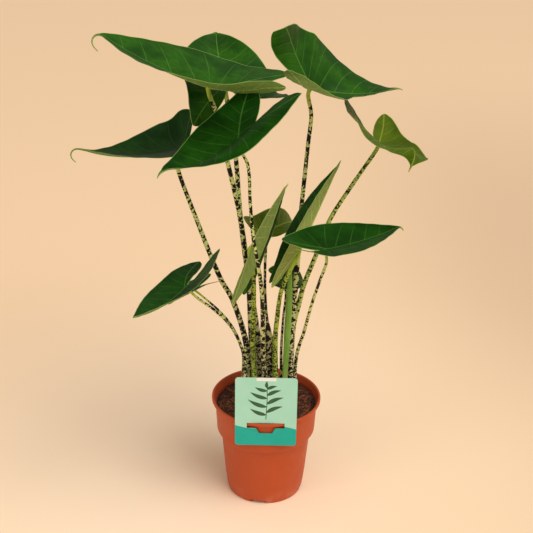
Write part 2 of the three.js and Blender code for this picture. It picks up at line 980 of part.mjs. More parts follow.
function circle(middle, aim, across, radius) {
  const points = [];
  for (let i = 0; i < stalkSides; i++) {
    const angle = (i * 2 * Math.PI) / stalkSides;
    const point = middle.clone();
    point.addScaledVector(aim, radius * Math.cos(angle));
    point.addScaledVector(across, radius * Math.sin(angle));
    points.push(point);
  }
  return points;
}

// A point this far under the blade, at flat coordinates near the stalk. Between the midrib and the
// first row of points the underside is straight.
function underBlade(leaf, x, y, distance) {
  const side = y >= 0 ? 0 : 1;
  const firstRow = rowShares[1] * (x >= 0 ? frontWidth(leaf, x) : lobeOuter(leaf, side, -x / leaf.lobes));
  const across = Math.abs(y) / firstRow;
  const ribNormal = upNormal(leaf, 0, x, 0).add(upNormal(leaf, 1, x, 0)).normalize();
  const atRib = bladePoint(leaf, side, x, 0).addScaledVector(ribNormal, -ribAt(leaf, x) - distance);
  const rowNormal = upNormal(leaf, side, x, firstRow);
  const atRow = bladePoint(leaf, side, x, firstRow).addScaledVector(rowNormal, -bladeThickness - distance);
  return atRib.lerp(atRow, across);
}

function upNormal(leaf, side, x, y) {
  const step = 0.5;
  const here = bladePoint(leaf, side, x, y);
  const ahead = bladePoint(leaf, side, x + step, y).sub(here);
  const outward = bladePoint(leaf, side, x, y + step).sub(here);
  const normal = new THREE.Vector3().crossVectors(ahead, outward).normalize();
  return side === 0 ? normal : normal.negate();
}

function stalkGeometry(leaf) {
  const rings = stalkRings(leaf, 0);
  if (leaf.notch) {
    return closedFromRings(centreOf(rings[0]), rings, centreOf(rings[rings.length - 1]));
  }
  const top = [];
  const radius = leaf.stalkRadii[1];
  for (let i = 0; i < stalkSides; i++) {
    const angle = (i * 2 * Math.PI) / stalkSides;
    top.push(underBlade(leaf, radius * Math.cos(angle), radius * Math.sin(angle), gap));
  }
  rings.push(top);
  const start = centreOf(rings[0]);
  const end = underBlade(leaf, 0, 0, gap);
  return closedFromRings(start, rings, end);
}

function centreOf(points) {
  const sum = new THREE.Vector3();
  for (const point of points) {
    sum.add(point);
  }
  return sum.divideScalar(points.length);
}

// Hole for a stalk in the soil: its lowest stretch, grown by the clearance
function holeSolid(rings) {
  const above = rings.findIndex((ring) => centreOf(ring).z > soilTop + clearOfSoil);
  const low = rings.slice(0, above + 1);
  const start = centreOf(low[0]);
  const drop = new THREE.Vector3(0, 0, -gap);
  low[0] = low[0].map((point) => point.clone().add(drop));
  return solid(closedFromRings(start.add(drop), low, centreOf(low[low.length - 1])));
}

// New leaf
function spearRings(grow) {
  const route = spearPath.map((point) => new THREE.Vector3(...point));
  const foot = route[0].clone().setZ(soilTop - stalkDepth);
  const curve = new THREE.CatmullRomCurve3([foot, ...route], false, "centripetal");
  const rings = [];
  let aim = new THREE.Vector3(0, -1, 0);
  for (const share of spearShares) {
    const tangent = curve.getTangentAt(share);
    aim = aim.projectOnPlane(tangent).normalize();
    const across = new THREE.Vector3().crossVectors(tangent, aim);
    rings.push(circle(curve.getPointAt(share), aim, across, valueAt(spearRadii, share) + grow));
  }
  return rings;
}

function valueAt(pairs, share) {
  for (let i = 1; i < pairs.length; i++) {
    const [lowShare, low] = pairs[i - 1];
    const [highShare, high] = pairs[i];
    if (share <= highShare) {
      return mix(low, high, (share - lowShare) / (highShare - lowShare));
    }
  }
  return pairs[pairs.length - 1][1];
}

function spearGeometry() {
  const rings = spearRings(0);
  return closedFromRings(centreOf(rings[0]), rings, centreOf(rings[rings.length - 1]));
}

// The whole plant in its pot
const plant = new THREE.Group();

function addPiece(name, geometry, material) {
  geometry.computeVertexNormals();
  const mesh = new THREE.Mesh(geometry, material);
  mesh.name = name;
  plant.add(mesh);
}

addPiece("pot", potGeometry(), terracottaPlastic());

let soil = soilSolid();
for (const leaf of leaves) {
  soil = soil.subtract(holeSolid(stalkRings(leaf, gap)));
}
soil = soil.subtract(holeSolid(spearRings(gap)));
addPiece("soil", geometryOf(soil), pottingSoil());

addPiece("plant_card", cardGeometry(), printedCard());

for (const leaf of leaves) {
  addPiece(`${leaf.name}_blade`, bladeGeometry(leaf), leaf.young ? youngLeafSkin() : leafSkin());
  addPiece(`${leaf.name}_stalk`, stalkGeometry(leaf), leaf.young ? youngStalk() : bandedStalk());
}

addPiece("new_leaf", spearGeometry(), newLeafSkin());

export default plant;
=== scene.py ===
import math

import bpy
import numpy as np
from mathutils import Matrix, Quaternion, Vector, noise


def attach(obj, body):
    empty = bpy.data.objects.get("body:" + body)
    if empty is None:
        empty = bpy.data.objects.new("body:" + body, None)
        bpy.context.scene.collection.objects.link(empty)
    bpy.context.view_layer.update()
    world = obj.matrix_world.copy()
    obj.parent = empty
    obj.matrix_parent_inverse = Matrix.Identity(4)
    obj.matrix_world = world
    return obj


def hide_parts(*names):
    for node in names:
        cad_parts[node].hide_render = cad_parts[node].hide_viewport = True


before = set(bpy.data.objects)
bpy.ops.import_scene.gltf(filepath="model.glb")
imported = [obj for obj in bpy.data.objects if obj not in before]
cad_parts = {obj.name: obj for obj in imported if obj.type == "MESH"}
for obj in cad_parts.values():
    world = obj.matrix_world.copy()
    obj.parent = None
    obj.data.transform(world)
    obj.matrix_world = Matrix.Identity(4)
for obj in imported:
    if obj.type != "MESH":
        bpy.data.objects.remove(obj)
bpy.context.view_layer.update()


# Studio: the plant stands on a wide pale floor under one big soft lamp from the upper right, a weaker
# one from the left and an even glow all round. The camera looks down on it from the front.
scene = bpy.context.scene
scene.view_settings.view_transform = "Standard"

CAMERA_PLACE = Vector((0, -1.7005, 1.2177))
CAMERA_DOWN = math.radians(25.989)
CAMERA_LEFT = math.radians(0.104)
CAMERA_ROLL = math.radians(1.0)
PICTURE_SIDE = 533
FOCAL_PIXELS = 1270
SENSOR = 36


def put(name, data):
    made = bpy.data.objects.new(name, data)
    scene.collection.objects.link(made)
    return made


camera_data = bpy.data.cameras.new("camera")
camera_data.sensor_width = SENSOR
camera_data.lens = FOCAL_PIXELS / PICTURE_SIDE * SENSOR
camera = put("camera", camera_data)
ahead = Vector((-math.sin(CAMERA_LEFT) * math.cos(CAMERA_DOWN),
                math.cos(CAMERA_LEFT) * math.cos(CAMERA_DOWN), -math.sin(CAMERA_DOWN)))
level_right = ahead.cross(Vector((0, 0, 1))).normalized()
level_up = level_right.cross(ahead)
right = level_right * math.cos(CAMERA_ROLL) + level_up * math.sin(CAMERA_ROLL)
up = level_up * math.cos(CAMERA_ROLL) - level_right * math.sin(CAMERA_ROLL)
facing = Matrix((right, up, -ahead)).transposed().to_4x4()
camera.matrix_world = Matrix.Translation(CAMERA_PLACE) @ facing
scene.camera = camera


def soft_lamp(name, place, aim, side, watts, colour):
    data = bpy.data.lights.new(name, "AREA")
    data.size = side
    data.energy = watts
    data.color = colour
    lamp = put(name, data)
    lamp.location = place
    lamp.rotation_euler = (Vector(aim) - Vector(place)).to_track_quat("-Z", "Y").to_euler()


soft_lamp("key_lamp", (1.6, -1.5, 2.4), (0, 0, 0.35), 2.0, 28, (1.0, 0.98, 0.95))
soft_lamp("fill_lamp", (-2.0, -1.8, 1.3), (0, 0, 0.4), 1.4, 13, (0.98, 0.99, 1.0))
sun_data = bpy.data.lights.new("sky_lamp", "SUN")
sun_data.energy = 1.55
sun_data.angle = math.radians(50)
put("sky_lamp", sun_data).rotation_euler = (math.radians(18), math.radians(22), 0)


def screen(colour):
    """Linear light of a colour given as it looks on a screen, in steps of 255."""
    steps = [value / 255 for value in colour]
    return tuple(s / 12.92 if s <= 0.04045 else ((s + 0.055) / 1.055) ** 2.4 for s in steps) + (1,)


# Nodes are made with their settings and with what feeds their sockets: a value, a colour as it looks
# on a screen, or another node's output
def feed(socket, value):
    if isinstance(value, bpy.types.NodeSocket):
        socket.id_data.links.new(value, socket)
    else:
        socket.default_value = screen(value) if socket.type == "RGBA" else value


def node(tree, kind, sockets=None, **settings):
    made = tree.nodes.new(kind)
    for name, value in settings.items():
        setattr(made, name, value)
    for key, value in (sockets or {}).items():
        feed(made.inputs[key], value)
    return made


def calc(operation, *values):
    tree = next(value.id_data for value in values if isinstance(value, bpy.types.NodeSocket))
    return node(tree, "ShaderNodeMath", dict(enumerate(values)), operation=operation).outputs[0]


def times(first, second):
    return calc("MULTIPLY", first, second)


def plus(first, second):
    return calc("ADD", first, second)


def minus(first, second):
    return calc("SUBTRACT", first, second)


def on_vector(operation, vector, other):
    sockets = {0: vector, 1: other}
    return node(vector.id_data, "ShaderNodeVectorMath", sockets, operation=operation).outputs[0]


def mix(mask, first, second):
    sockets = {0: mask, 6: first, 7: second}
    return node(mask.id_data, "ShaderNodeMix", sockets, data_type="RGBA").outputs[2]


def step(value, low, high, at_low=0.0, at_high=1.0):
    """Soft step from at_low to at_high while the value runs from low to high."""
    sockets = {0: value, 1: low, 2: high, 3: at_low, 4: at_high}
    made = node(value.id_data, "ShaderNodeMapRange", sockets, interpolation_type="SMOOTHSTEP")
    return made.outputs[0]


def speckle(place, scale, detail=2.0, roughness=0.5, distortion=0.0):
    sockets = {"Vector": place, "Scale": scale, "Detail": detail, "Roughness": roughness,
               "Distortion": distortion}
    return node(place.id_data, "ShaderNodeTexNoise", sockets).outputs[0]


def attribute(tree, name):
    return node(tree, "ShaderNodeAttribute", attribute_name=name).outputs["Vector"]


def parts_of(vector):
    return tuple(node(vector.id_data, "ShaderNodeSeparateXYZ", {0: vector}).outputs)


def in_place(tree):
    return node(tree, "ShaderNodeTexCoord").outputs["Object"]


def new_material(name):
    made = bpy.data.materials.new(name)
    made.use_nodes = True
    return made, made.node_tree, made.node_tree.nodes["Principled BSDF"]


def surface(bsdf, colour, roughness, gloss=0.5):
    feed(bsdf.inputs["Base Color"], colour)
    feed(bsdf.inputs["Roughness"], roughness)
    bsdf.inputs["Specular IOR Level"].default_value = gloss


def bump(bsdf, height, strength, distance):
    sockets = {"Height": height, "Strength": strength, "Distance": distance}
    feed(bsdf.inputs["Normal"], node(bsdf.id_data, "ShaderNodeBump", sockets).outputs[0])


GLOW = 0.42
FLOOR_HALF = 8

world = bpy.data.worlds.new("glow")
world.use_nodes = True
background = world.node_tree.nodes["Background"].inputs
feed(background["Color"], (252, 240, 226))
feed(background["Strength"], GLOW)
scene.world = world

floor_mesh = bpy.data.meshes.new("floor")
corners = [(x * FLOOR_HALF, y * FLOOR_HALF, 0) for x, y in ((-1, -1), (1, -1), (1, 1), (-1, 1))]
floor_mesh.from_pydata(corners, [], [(0, 1, 2, 3)])
floor = put("floor", floor_mesh)
floor_paint, tree, bsdf = new_material("floor_paint")
where = in_place(tree)
to_right, to_back, _ = parts_of(where)
distance = node(tree, "ShaderNodeVectorMath", {0: where}, operation="LENGTH").outputs["Value"]
# Floor colour: a faint mottle, with painted shade: a little darker to the right, where the key lamp
# falls brighter, and darker far from the plant, more so off to the right, like a backdrop in shade.
near_tone = mix(speckle(where, 1.5, 1), (254, 227, 196), (255, 229, 200))
near_tone = mix(step(to_right, -0.15, 0.3), near_tone, (250, 219, 182))
painted_side_shade = times(step(to_right, 0.0, 0.6), step(to_back, 2.4, 0.9))
painted_far_shade_tone = mix(painted_side_shade, (248, 214, 175), (226, 194, 158))
surface(bsdf, mix(step(distance, 0.1, 0.9), near_tone, painted_far_shade_tone), 0.9)
floor_mesh.materials.append(floor_paint)


# Nursery pot: one moulding of terracotta-coloured plastic with a satin face. The wall leans out to a
# step, then to a rolled lip; four channels cross the foot, with a drain hole in each.
POT_OUTLINE = [(57.4, 0), (59.0, 1.2), (60.4, 8), (61.2, 14), (63.6, 34), (68.8, 92), (69.3, 101),
               (71.2, 106), (76.2, 108.5), (76.8, 110), (79.5, 159)]
POT_HEIGHT = 165
LIP_RADIUS = 85
LIP_INNER_RADIUS = 81
LIP_FOOT = 159
LIP_EDGE = 0.9
COLLAR_FOOT = 110
CORNER_REACH = 1.3
POT_WALL = 1.6
POT_SEGMENTS = 160
INSIDE_FLOOR = 9
CHANNEL_WIDTH = 25
CHANNEL_HEIGHT = 5.8
CHANNEL_START = 22
CHANNEL_TURN = math.radians(-9.4)
DRAIN_PLACE = 42
DRAIN_RADIUS = 4.5
SHARP_ANGLE = 35


def rounded(outline, reach, steps=4):
    """Corners of a profile turned into short curves that start within reach of each corner."""
    points = [outline[0]]
    for before, corner, after in zip(outline, outline[1:], outline[2:]):
        before, corner, after = (np.array(p, float) for p in (before, corner, after))
        back = before - corner
        onward = after - corner
        start = corner + back * min(0.45, reach / np.linalg.norm(back))
        end = corner + onward * min(0.45, reach / np.linalg.norm(onward))
        for t in np.linspace(0, 1, steps + 1):
            points.append(tuple((1 - t) ** 2 * start + 2 * t * (1 - t) * corner + t * t * end))
    points.append(outline[-1])
    return points


def polar(radius, angle):
    return radius * math.cos(angle), radius * math.sin(angle)


def turned(profile, segments):
    """Closed solid of revolution; the profile starts and ends on the axis."""
    points = [(0, 0, profile[0][1])]
    faces = []
    angles = [i * 2 * math.pi / segments for i in range(segments)]
    for radius, height in profile[1:-1]:
        points += [(*polar(radius, a), height) for a in angles]
    last = len(points)
    points.append((0, 0, profile[-1][1]))
    rings = len(profile) - 2
    for i in range(segments):
        j = (i + 1) % segments
        faces.append((0, 1 + j, 1 + i))
        for ring in range(rings - 1):
            low = 1 + ring * segments
            high = low + segments
            faces.append((low + i, low + j, high + j, high + i))
        top = 1 + (rings - 1) * segments
        faces.append((top + i, top + j, last))
    return points, faces


def soften(mesh, sharp):
    """Smooth but for edges sharper than the angle."""
    mesh.shade_smooth()
    mesh.set_sharp_from_angle(angle=math.radians(sharp))


def mesh_of(name, points, faces, sharp=SHARP_ANGLE):
    """Mesh from points in millimetres."""
    mesh = bpy.data.meshes.new(name)
    mesh.from_pydata((np.asarray(points, float) * 0.001).tolist(), [], faces)
    mesh.update()
    soften(mesh, sharp)
    return mesh


def add_piece(name, mesh, nodes, finish):
    piece = put(name, mesh)
    mesh.materials.append(finish)
    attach(piece, "root")
    if nodes:
        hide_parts(*nodes)


def cut(mesh, cutters):
    """The mesh with each cutter taken out of it."""
    piece = put("blank", mesh)
    tools = [put("tool", cutter) for cutter in cutters]
    for tool in tools:
        change = piece.modifiers.new("cut", "BOOLEAN")
        change.operation = "DIFFERENCE"
        change.solver = "EXACT"
        change.object = tool
    bpy.context.view_layer.update()
    evaluated = piece.evaluated_get(bpy.context.evaluated_depsgraph_get())
    result = bpy.data.meshes.new_from_object(evaluated)
    for thing in [piece, *tools]:
        bpy.data.objects.remove(thing)
    return result


pot_profile = rounded([
    (0, 0), *POT_OUTLINE, (81.0, LIP_FOOT + 0.4), (LIP_RADIUS, LIP_FOOT + 0.8), (LIP_RADIUS, POT_HEIGHT),
    (LIP_INNER_RADIUS + LIP_EDGE, POT_HEIGHT), (LIP_INNER_RADIUS, POT_HEIGHT - 2 * LIP_EDGE),
    (POT_OUTLINE[-1][0] - POT_WALL, LIP_FOOT - 4), (POT_OUTLINE[9][0] - POT_WALL, COLLAR_FOOT),
    (69.6, 106), (67.7, 101), (POT_OUTLINE[3][0] - POT_WALL, 16), (55, INSIDE_FLOOR), (0, INSIDE_FLOOR),
], CORNER_REACH)
pot_mesh = mesh_of("pot", *turned(pot_profile, POT_SEGMENTS))


def block(low, high, turn):
    """Box between two corners, turned about the pot's axis."""
    spun = [(x * math.cos(turn) - y * math.sin(turn), x * math.sin(turn) + y * math.cos(turn), z)
            for x in (low[0], high[0]) for y in (low[1], high[1]) for z in (low[2], high[2])]
    faces = [(0, 1, 3, 2), (4, 6, 7, 5), (0, 4, 5, 1), (2, 3, 7, 6), (0, 2, 6, 4), (1, 5, 7, 3)]
    return mesh_of("block", spun, faces)


cutters = []
half_channel = CHANNEL_WIDTH / 2
for i in range(4):
    turn = CHANNEL_TURN + i * math.pi / 2
    cutters.append(block((-half_channel, -90, -5), (half_channel, -CHANNEL_START, CHANNEL_HEIGHT), turn))
    hole, hole_faces = turned([(0, 2), (DRAIN_RADIUS, 2), (DRAIN_RADIUS, 12), (0, 12)], 24)
    middle = (DRAIN_PLACE * math.sin(turn), -DRAIN_PLACE * math.cos(turn), 0)
    cutters.append(mesh_of("drain", np.array(hole) + middle, hole_faces))
pot_mesh = cut(pot_mesh, cutters)
soften(pot_mesh, SHARP_ANGLE)


def new_group(name, *inputs):
    """Node group of plain numbers: its tree, and what comes in by name."""
    tree = bpy.data.node_groups.new(name, "ShaderNodeTree")
    for label in inputs:
        tree.interface.new_socket(label, in_out="INPUT", socket_type="NodeSocketFloat")
    return tree, tree.nodes.new("NodeGroupInput").outputs


def give_out(tree, **values):
    for label in values:
        tree.interface.new_socket(label, in_out="OUTPUT", socket_type="NodeSocketFloat")
    node(tree, "NodeGroupOutput", values)


# Fine grain of a moulded or printed face, shared by several finishes: a soft tone and a tiny relief
MILLIMETRES = (1000.0, 1000.0, 1000.0)
grain, grain_in = new_group("fine_grain", "Size")
sized = on_vector("DIVIDE", on_vector("MULTIPLY", in_place(grain), MILLIMETRES), grain_in["Size"])
give_out(grain, Tone=speckle(sized, 0.03, 3.0, 0.6), Relief=speckle(sized, 1.0, 3.0, 0.6))


def grained(tree, size):
    return node(tree, "ShaderNodeGroup", {"Size": size}, node_tree=grain).outputs


terracotta, tree, bsdf = new_material("terracotta_plastic")
tone, relief = grained(tree, 0.9)
height = parts_of(in_place(tree))[2]
dust = times(step(height, 0.03, 0.0), step(tone, 0.45, 0.7))
colour = mix(speckle(in_place(tree), 14.0), (178, 71, 28), (188, 79, 34))
colour = mix(step(tone, 0.4, 0.65), colour, (183, 74, 30))
colour = mix(times(dust, 0.35), colour, (205, 150, 120))
surface(bsdf, colour, step(tone, 0.3, 0.7, 0.44, 0.56), 0.35)
bump(bsdf, relief, 0.12, 0.0003)
add_piece("nursery_pot", pot_mesh, ["pot"], terracotta)


# Soil: moist dark potting mix, filled to a finger's width below the lip. Crumbs and coarse fibres of
# coconut lie loose on top of it.
SOIL_TOP = 151
SOIL_RADIUS = 77.2
SOIL_UNDERSIDE = 100
UNDERSIDE_RADIUS = 66
SOIL_RINGS = 44
SOIL_SIDES = 120
CRUMBS = 3400
CRUMB_MARGIN = 1.5
FIBRES = 760
FIBRE_STEPS = 6
FIBRE_MARGIN = 7

rng = np.random.default_rng(41)


def soil_height(x, y):
    broad = noise.noise(Vector((x * 0.045, y * 0.045, 3)))
    fine = noise.noise(Vector((x * 0.21, y * 0.21, 9)))
    return SOIL_TOP + 1.5 * broad + 0.9 * fine


soil_points = [(0, 0, soil_height(0, 0))]
soil_faces = []
for ring in range(1, SOIL_RINGS + 1):
    radius = SOIL_RADIUS * ring / SOIL_RINGS
    for i in range(SOIL_SIDES):
        x, y = polar(radius, i * 2 * math.pi / SOIL_SIDES)
        soil_points.append((x, y, soil_height(x, y)))
for i in range(SOIL_SIDES):
    soil_points.append((*polar(UNDERSIDE_RADIUS, i * 2 * math.pi / SOIL_SIDES), SOIL_UNDERSIDE))
soil_points.append((0, 0, SOIL_UNDERSIDE))
for i in range(SOIL_SIDES):
    j = (i + 1) % SOIL_SIDES
    soil_faces.append((0, 1 + i, 1 + j))
    for ring in range(SOIL_RINGS):
        low = 1 + ring * SOIL_SIDES
        high = low + SOIL_SIDES
        soil_faces.append((low + i, high + i, high + j, low + j))
    soil_faces.append((high + i, len(soil_points) - 1, high + j))

CRUMB = np.array([(-1, 0.6, 0), (1, 0.6, 0), (-1, -0.6, 0), (1, -0.6, 0), (0, -1, 0.6), (0, 1, 0.6),
                  (0, -1, -0.6), (0, 1, -0.6), (0.6, 0, -1), (0.6, 0, 1), (-0.6, 0, -1), (-0.6, 0, 1)])
CRUMB_FACES = [(0, 11, 5), (0, 5, 1), (0, 1, 7), (0, 7, 10), (0, 10, 11), (1, 5, 9), (5, 11, 4),
               (11, 10, 2), (10, 7, 6), (7, 1, 8), (3, 9, 4), (3, 4, 2), (3, 2, 6), (3, 6, 8),
               (3, 8, 9), (4, 9, 5), (2, 4, 11), (6, 2, 10), (8, 6, 7), (9, 8, 1)]


def random_place(margin):
    """Place on the soil, at least the margin from its edge."""
    return polar((SOIL_RADIUS - margin) * math.sqrt(rng.random()), rng.random() * 2 * math.pi)


def random_turn():
    return np.array(Quaternion(rng.normal(size=4).tolist()).normalized().to_matrix())


soil_shade = [0.0] * len(soil_points)
for i in range(CRUMBS):
    x, y = random_place(CRUMB_MARGIN)
    size = 0.5 + 1.6 * rng.random() ** 2.5
    stretch = size * np.array([1, 0.55 + 0.4 * rng.random(), 0.45 + 0.4 * rng.random()])
    shape = (CRUMB * (1 + 0.25 * rng.normal(size=CRUMB.shape))) * stretch @ random_turn().T
    start = len(soil_points)
    soil_points += (shape + (x, y, soil_height(x, y) + 0.25 * size)).tolist()
    soil_faces += [tuple(start + k for k in face) for face in CRUMB_FACES]
    soil_shade += [0.15 + 0.85 * rng.random()] * len(CRUMB)
for i in range(FIBRES):
    place = np.array(random_place(FIBRE_MARGIN))
    heading = rng.random() * 2 * math.pi
    bend = rng.normal() * 0.22
    length = 4 + 9 * rng.random()
    thick = 0.18 + 0.2 * rng.random()
    rise = 0.6 + 1.1 * rng.random()
    start = len(soil_points)
    for k in range(FIBRE_STEPS + 1):
        t = k / FIBRE_STEPS
        z = soil_height(*place) + rise * math.sin(math.pi * t) + 0.35
        side = np.array([-math.sin(heading), math.cos(heading)]) * thick * (1 - 0.6 * abs(2 * t - 1))
        soil_points += [(*(place - side), z), (*(place + side), z), (*place, z + thick)]
        place = place + np.array(polar(1, heading)) * length / FIBRE_STEPS
        heading += bend
    for k in range(FIBRE_STEPS):
        a, b = start + 3 * k, start + 3 * k + 3
        soil_faces += [(a, b, b + 1, a + 1), (a + 1, b + 1, b + 2, a + 2), (a + 2, b + 2, b, a)]
    soil_faces += [(start, start + 1, start + 2), (b, b + 2, b + 1)]
    soil_shade += [1.5 + 0.5 * rng.random()] * (3 * (FIBRE_STEPS + 1))

soil_mesh = mesh_of("soil", soil_points, soil_faces, 50)
shades = soil_mesh.attributes.new("shade", "FLOAT", "POINT")
shades.data.foreach_set("value", soil_shade)
potting_mix, tree, bsdf = new_material("potting_mix")
shade = node(tree, "ShaderNodeAttribute", attribute_name="shade").outputs["Fac"]
relief = grained(tree, 1.6)[1]
colour = mix(step(relief, 0.35, 0.65), (30, 15, 9), (68, 36, 20))
colour = mix(step(shade, 0.2, 1.0), colour, (112, 60, 32))
colour = mix(step(shade, 1.2, 1.6), colour, (186, 104, 56))
surface(bsdf, colour, 0.85)
bump(bsdf, relief, 0.5, 0.0008)
add_piece("potting_soil", soil_mesh, ["soil"], potting_mix)


# Plant card: coated board, mint with a teal foot and a white field on top. It hangs on the pot by a
# slot, and carries a plain spray of leaves as its ornament.
CARD_FACE = -81.35
TEAL_TOP = 0.158
FIELD_HALF = 0.0145
FIELD_FOOT = 0.239
PRINT_EDGE = 0.0003
INK_PROUD = 0.08
INK_SUNK = 0.05

printed_card, tree, bsdf = new_material("printed_card")
across, _, height = parts_of(in_place(tree))
wave = times(calc("SINE", times(across, 70.0)), 0.0035)
teal_edge = plus(plus(wave, times(across, -0.06)), TEAL_TOP)
teal = step(minus(teal_edge, height), -0.0004, 0.0004)
field = times(step(calc("ABSOLUTE", across), FIELD_HALF + PRINT_EDGE, FIELD_HALF),
              step(height, FIELD_FOOT, FIELD_FOOT + PRINT_EDGE))
wash = speckle(in_place(tree), 45.0)
mint = mix(wash, (160, 218, 194), (176, 226, 206))
deep = mix(wash, (0, 162, 148), (26, 180, 164))
colour = mix(field, mix(teal, mint, deep), (238, 240, 236))
relief = grained(tree, 0.35)[1]
surface(bsdf, colour, step(relief, 0.3, 0.7, 0.28, 0.36), 0.3)
bump(bsdf, relief, 0.05, 0.0001)
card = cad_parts["plant_card"]
card.data.materials.clear()
card.data.materials.append(printed_card)

leaf_ink, tree, bsdf = new_material("leaf_ink")
colour = mix(speckle(in_place(tree), 160.0), (20, 66, 40), (52, 104, 62))
surface(bsdf, colour, step(grained(tree, 0.35)[1], 0.3, 0.7, 0.28, 0.36))

STEM_FOOT = 172
STEM_LENGTH = 56
STEM_SWAY = 1.5
STEM_TURN = 2.2
STEM_HALF_WIDTH = 0.55
# Height on the stem, reach and side of each leaf of the spray
SPRAY_LEAVES = [(180, 17, -1), (184, 18, 1), (194, 20, -1), (199, 19, 1), (209, 17, -1), (214, 15, 1),
                (222, 10, -1), (225, 9, 1)]
spray_points = []
spray_faces = []


def flat_strip(points, widths):
    """Thin strip on the card's face along points (across, height), as wide as given to each side."""
    points = np.array(points, float)
    along = np.gradient(points, axis=0)
    along /= np.linalg.norm(along, axis=1)[:, None]
    normal = np.stack([-along[:, 1], along[:, 0]], 1) * np.array(widths)[:, None]
    start = len(spray_points)
    for depth in (CARD_FACE - INK_PROUD, CARD_FACE + INK_SUNK):
        for p, n in zip(points, normal):
            spray_points.extend([(p[0] - n[0], depth, p[1] - n[1]), (p[0] + n[0], depth, p[1] + n[1])])
    count = 2 * len(points)
    last = start + count - 2
    for a in range(start, last, 2):
        b = a + count
        spray_faces.extend([(a, a + 2, a + 3, a + 1), (a, b, b + 2, a + 2),
                            (a + 1, a + 3, b + 3, b + 1), (b, b + 1, b + 3, b + 2)])
    spray_faces.extend([(start, start + 1, start + count + 1, start + count),
                        (last, last + count, last + count + 1, last + 1)])


def spray_leaf(foot, tip, width):
    foot, tip = np.array(foot, float), np.array(tip, float)
    t = np.linspace(0, 1, 15)
    sag = np.array([-(tip - foot)[1], (tip - foot)[0]]) * 0.07
    path = foot + (tip - foot) * t[:, None] + sag * np.sin(math.pi * t)[:, None]
    flat_strip(path, np.maximum(0.12, width * np.sin(math.pi * t ** 0.72) ** 0.9))


def sway(height):
    return STEM_SWAY * math.sin(STEM_TURN * (height - STEM_FOOT) / STEM_LENGTH)


stem_head = STEM_FOOT + STEM_LENGTH
stem = [(sway(height), height) for height in np.linspace(STEM_FOOT, stem_head, 12)]
flat_strip(stem, [STEM_HALF_WIDTH] * len(stem))
for height, reach, side in SPRAY_LEAVES:
    tip = (side * (reach + 7), height + 0.62 * reach)
    spray_leaf((sway(height), height), tip, 2.2 + 0.06 * reach)
spray_leaf((sway(stem_head), stem_head - 1), (1, stem_head + 11), 2.4)
spray_mesh = mesh_of("leaf_spray", spray_points, spray_faces)
add_piece("card_leaf_spray", spray_mesh, [], leaf_ink)


# Leaves: arrow-shaped blades, a waxy dark green skin over a pale underside where midrib, lobe ribs and
# side veins stand proud. Each is held at the head of its stalk, and bends, folds and curls its own way.
# Pairs give the left half, then the right half. Angles are in degrees, lengths in millimetres.

# A blade meets its stalk at one place and is aimed by heading, pitch and roll. It runs front ahead of
# the stalk, with a hooked tail, and lobes behind it, where the lobes are joined over a share of that.
# Droop, sweep and twist bend it along its length; curl hooks the tip. The folds are its slope beside the
# midrib, at the edge, at the tip and in the lobes.
LEAF_COLUMNS = ("name at heading pitch roll front half_width lobes joined droop sweep twist tail curl "
                "lobe_tips fold edge tip_fold lobe_fold lobe_drop").split()
LEAF_TABLE = [
    ("01", (-85, -50, 683), 172, 14, 4, 195, 88, 103, 0.05, -24, 6, -9, 32, 170,
     (50, 50), (20, 17), (18, 11), (-8, -7), (39, 11), (-7, -23)),
    ("02", (-66, 60, 652), 105, 18, 23, 162, 71, 92, 0.1, -3, -14, -16, 30, 60,
     (50, 57), (-1, 18), (-9, 23), (20, 29), (13, 29), (53, -28)),
    ("03", (-44, -95, 624), 225, -26, 21, 134, 66, 90, 0.39, -43, -8, -11, 12, 66,
     (56, 54), (29, 23), (-31, 38), (-8, -4), (34, 26), (5, -2)),
    ("04", (-138, 30, 563), 200, -13, 18, 172, 87, 57, 0.05, -43, -11, 13, 26, 160,
     (46, 43), (1, -8), (-8, 62), (-1, 11), (7, -2), (0, -44)),
    ("05", (56, 30, 658), 33, -24, 41, 141, 85, 100, 0.13, -66, -13, -30, 10, 60,
     (68, 64), (23, 36), (14, 54), (-35, -18), (63, 45), (16, -6)),
    ("06", (156, 10, 584), -65, -3, -34, 127, 60, 81, 0.11, -60, -16, 24, 10, 129,
     (39, 40), (-12, 8), (67, 13), (-41, -51), (-6, 10), (-24, -19)),
    ("07", (-23, -25, 437), 178, 111, -10, 109, 44, 92, 0.03, -12, 0, 2, 8, 0,
     (29, 28), (17, 17), (37, 35), (0, 0), (22, 33), (4, 0)),
    ("08", (-1, 85, 409), 51, 1, 26, 99, 33, 73, 0.12, 40, 14, 3, 5, 0,
     (20, 18), (40, 22), (50, 50), (0, 0), (34, 50), (-40, -32)),
    ("09", (46, -35, 438), 41, 58, -43, 138, 50, 69, 0.04, 0, 2, 5, 10, 0,
     (31, 31), (27, 28), (35, 21), (0, 0), (15, 32), (-10, -1)),
    ("10", (82, -105, 469), 21, 2, -6, 121, 56, 60, 0.16, -15, 1, 6, 10, 90,
     (26, 28), (12, 17), (28, 1), (0, 0), (0, 26), (-22, -14)),
    ("11", (-123, -45, 373), 234, -18, 22, 107, 46, 70, 0.08, -30, 5, -9, 4, 20,
     (33, 32), (4, 18), (20, 20), (19, 7), (4, 24), (-18, 18)),
    ("12", (-111, -10, 354), 212, -14, 11, 46, 22, 38, 0.16, 8, 0, 0, 4, 0,
     (14, 14), (16, 16), (17, 15), (0, 0), (17, 18), (14, 0)),
    ("13", (26, 35, 353), 34, -13, 42, 50, 23, 31, 0.16, 39, 0, 0, 4, 0,
     (13, 13), (21, 12), (19, 9), (0, 0), (24, 19), (2, -3)),
]
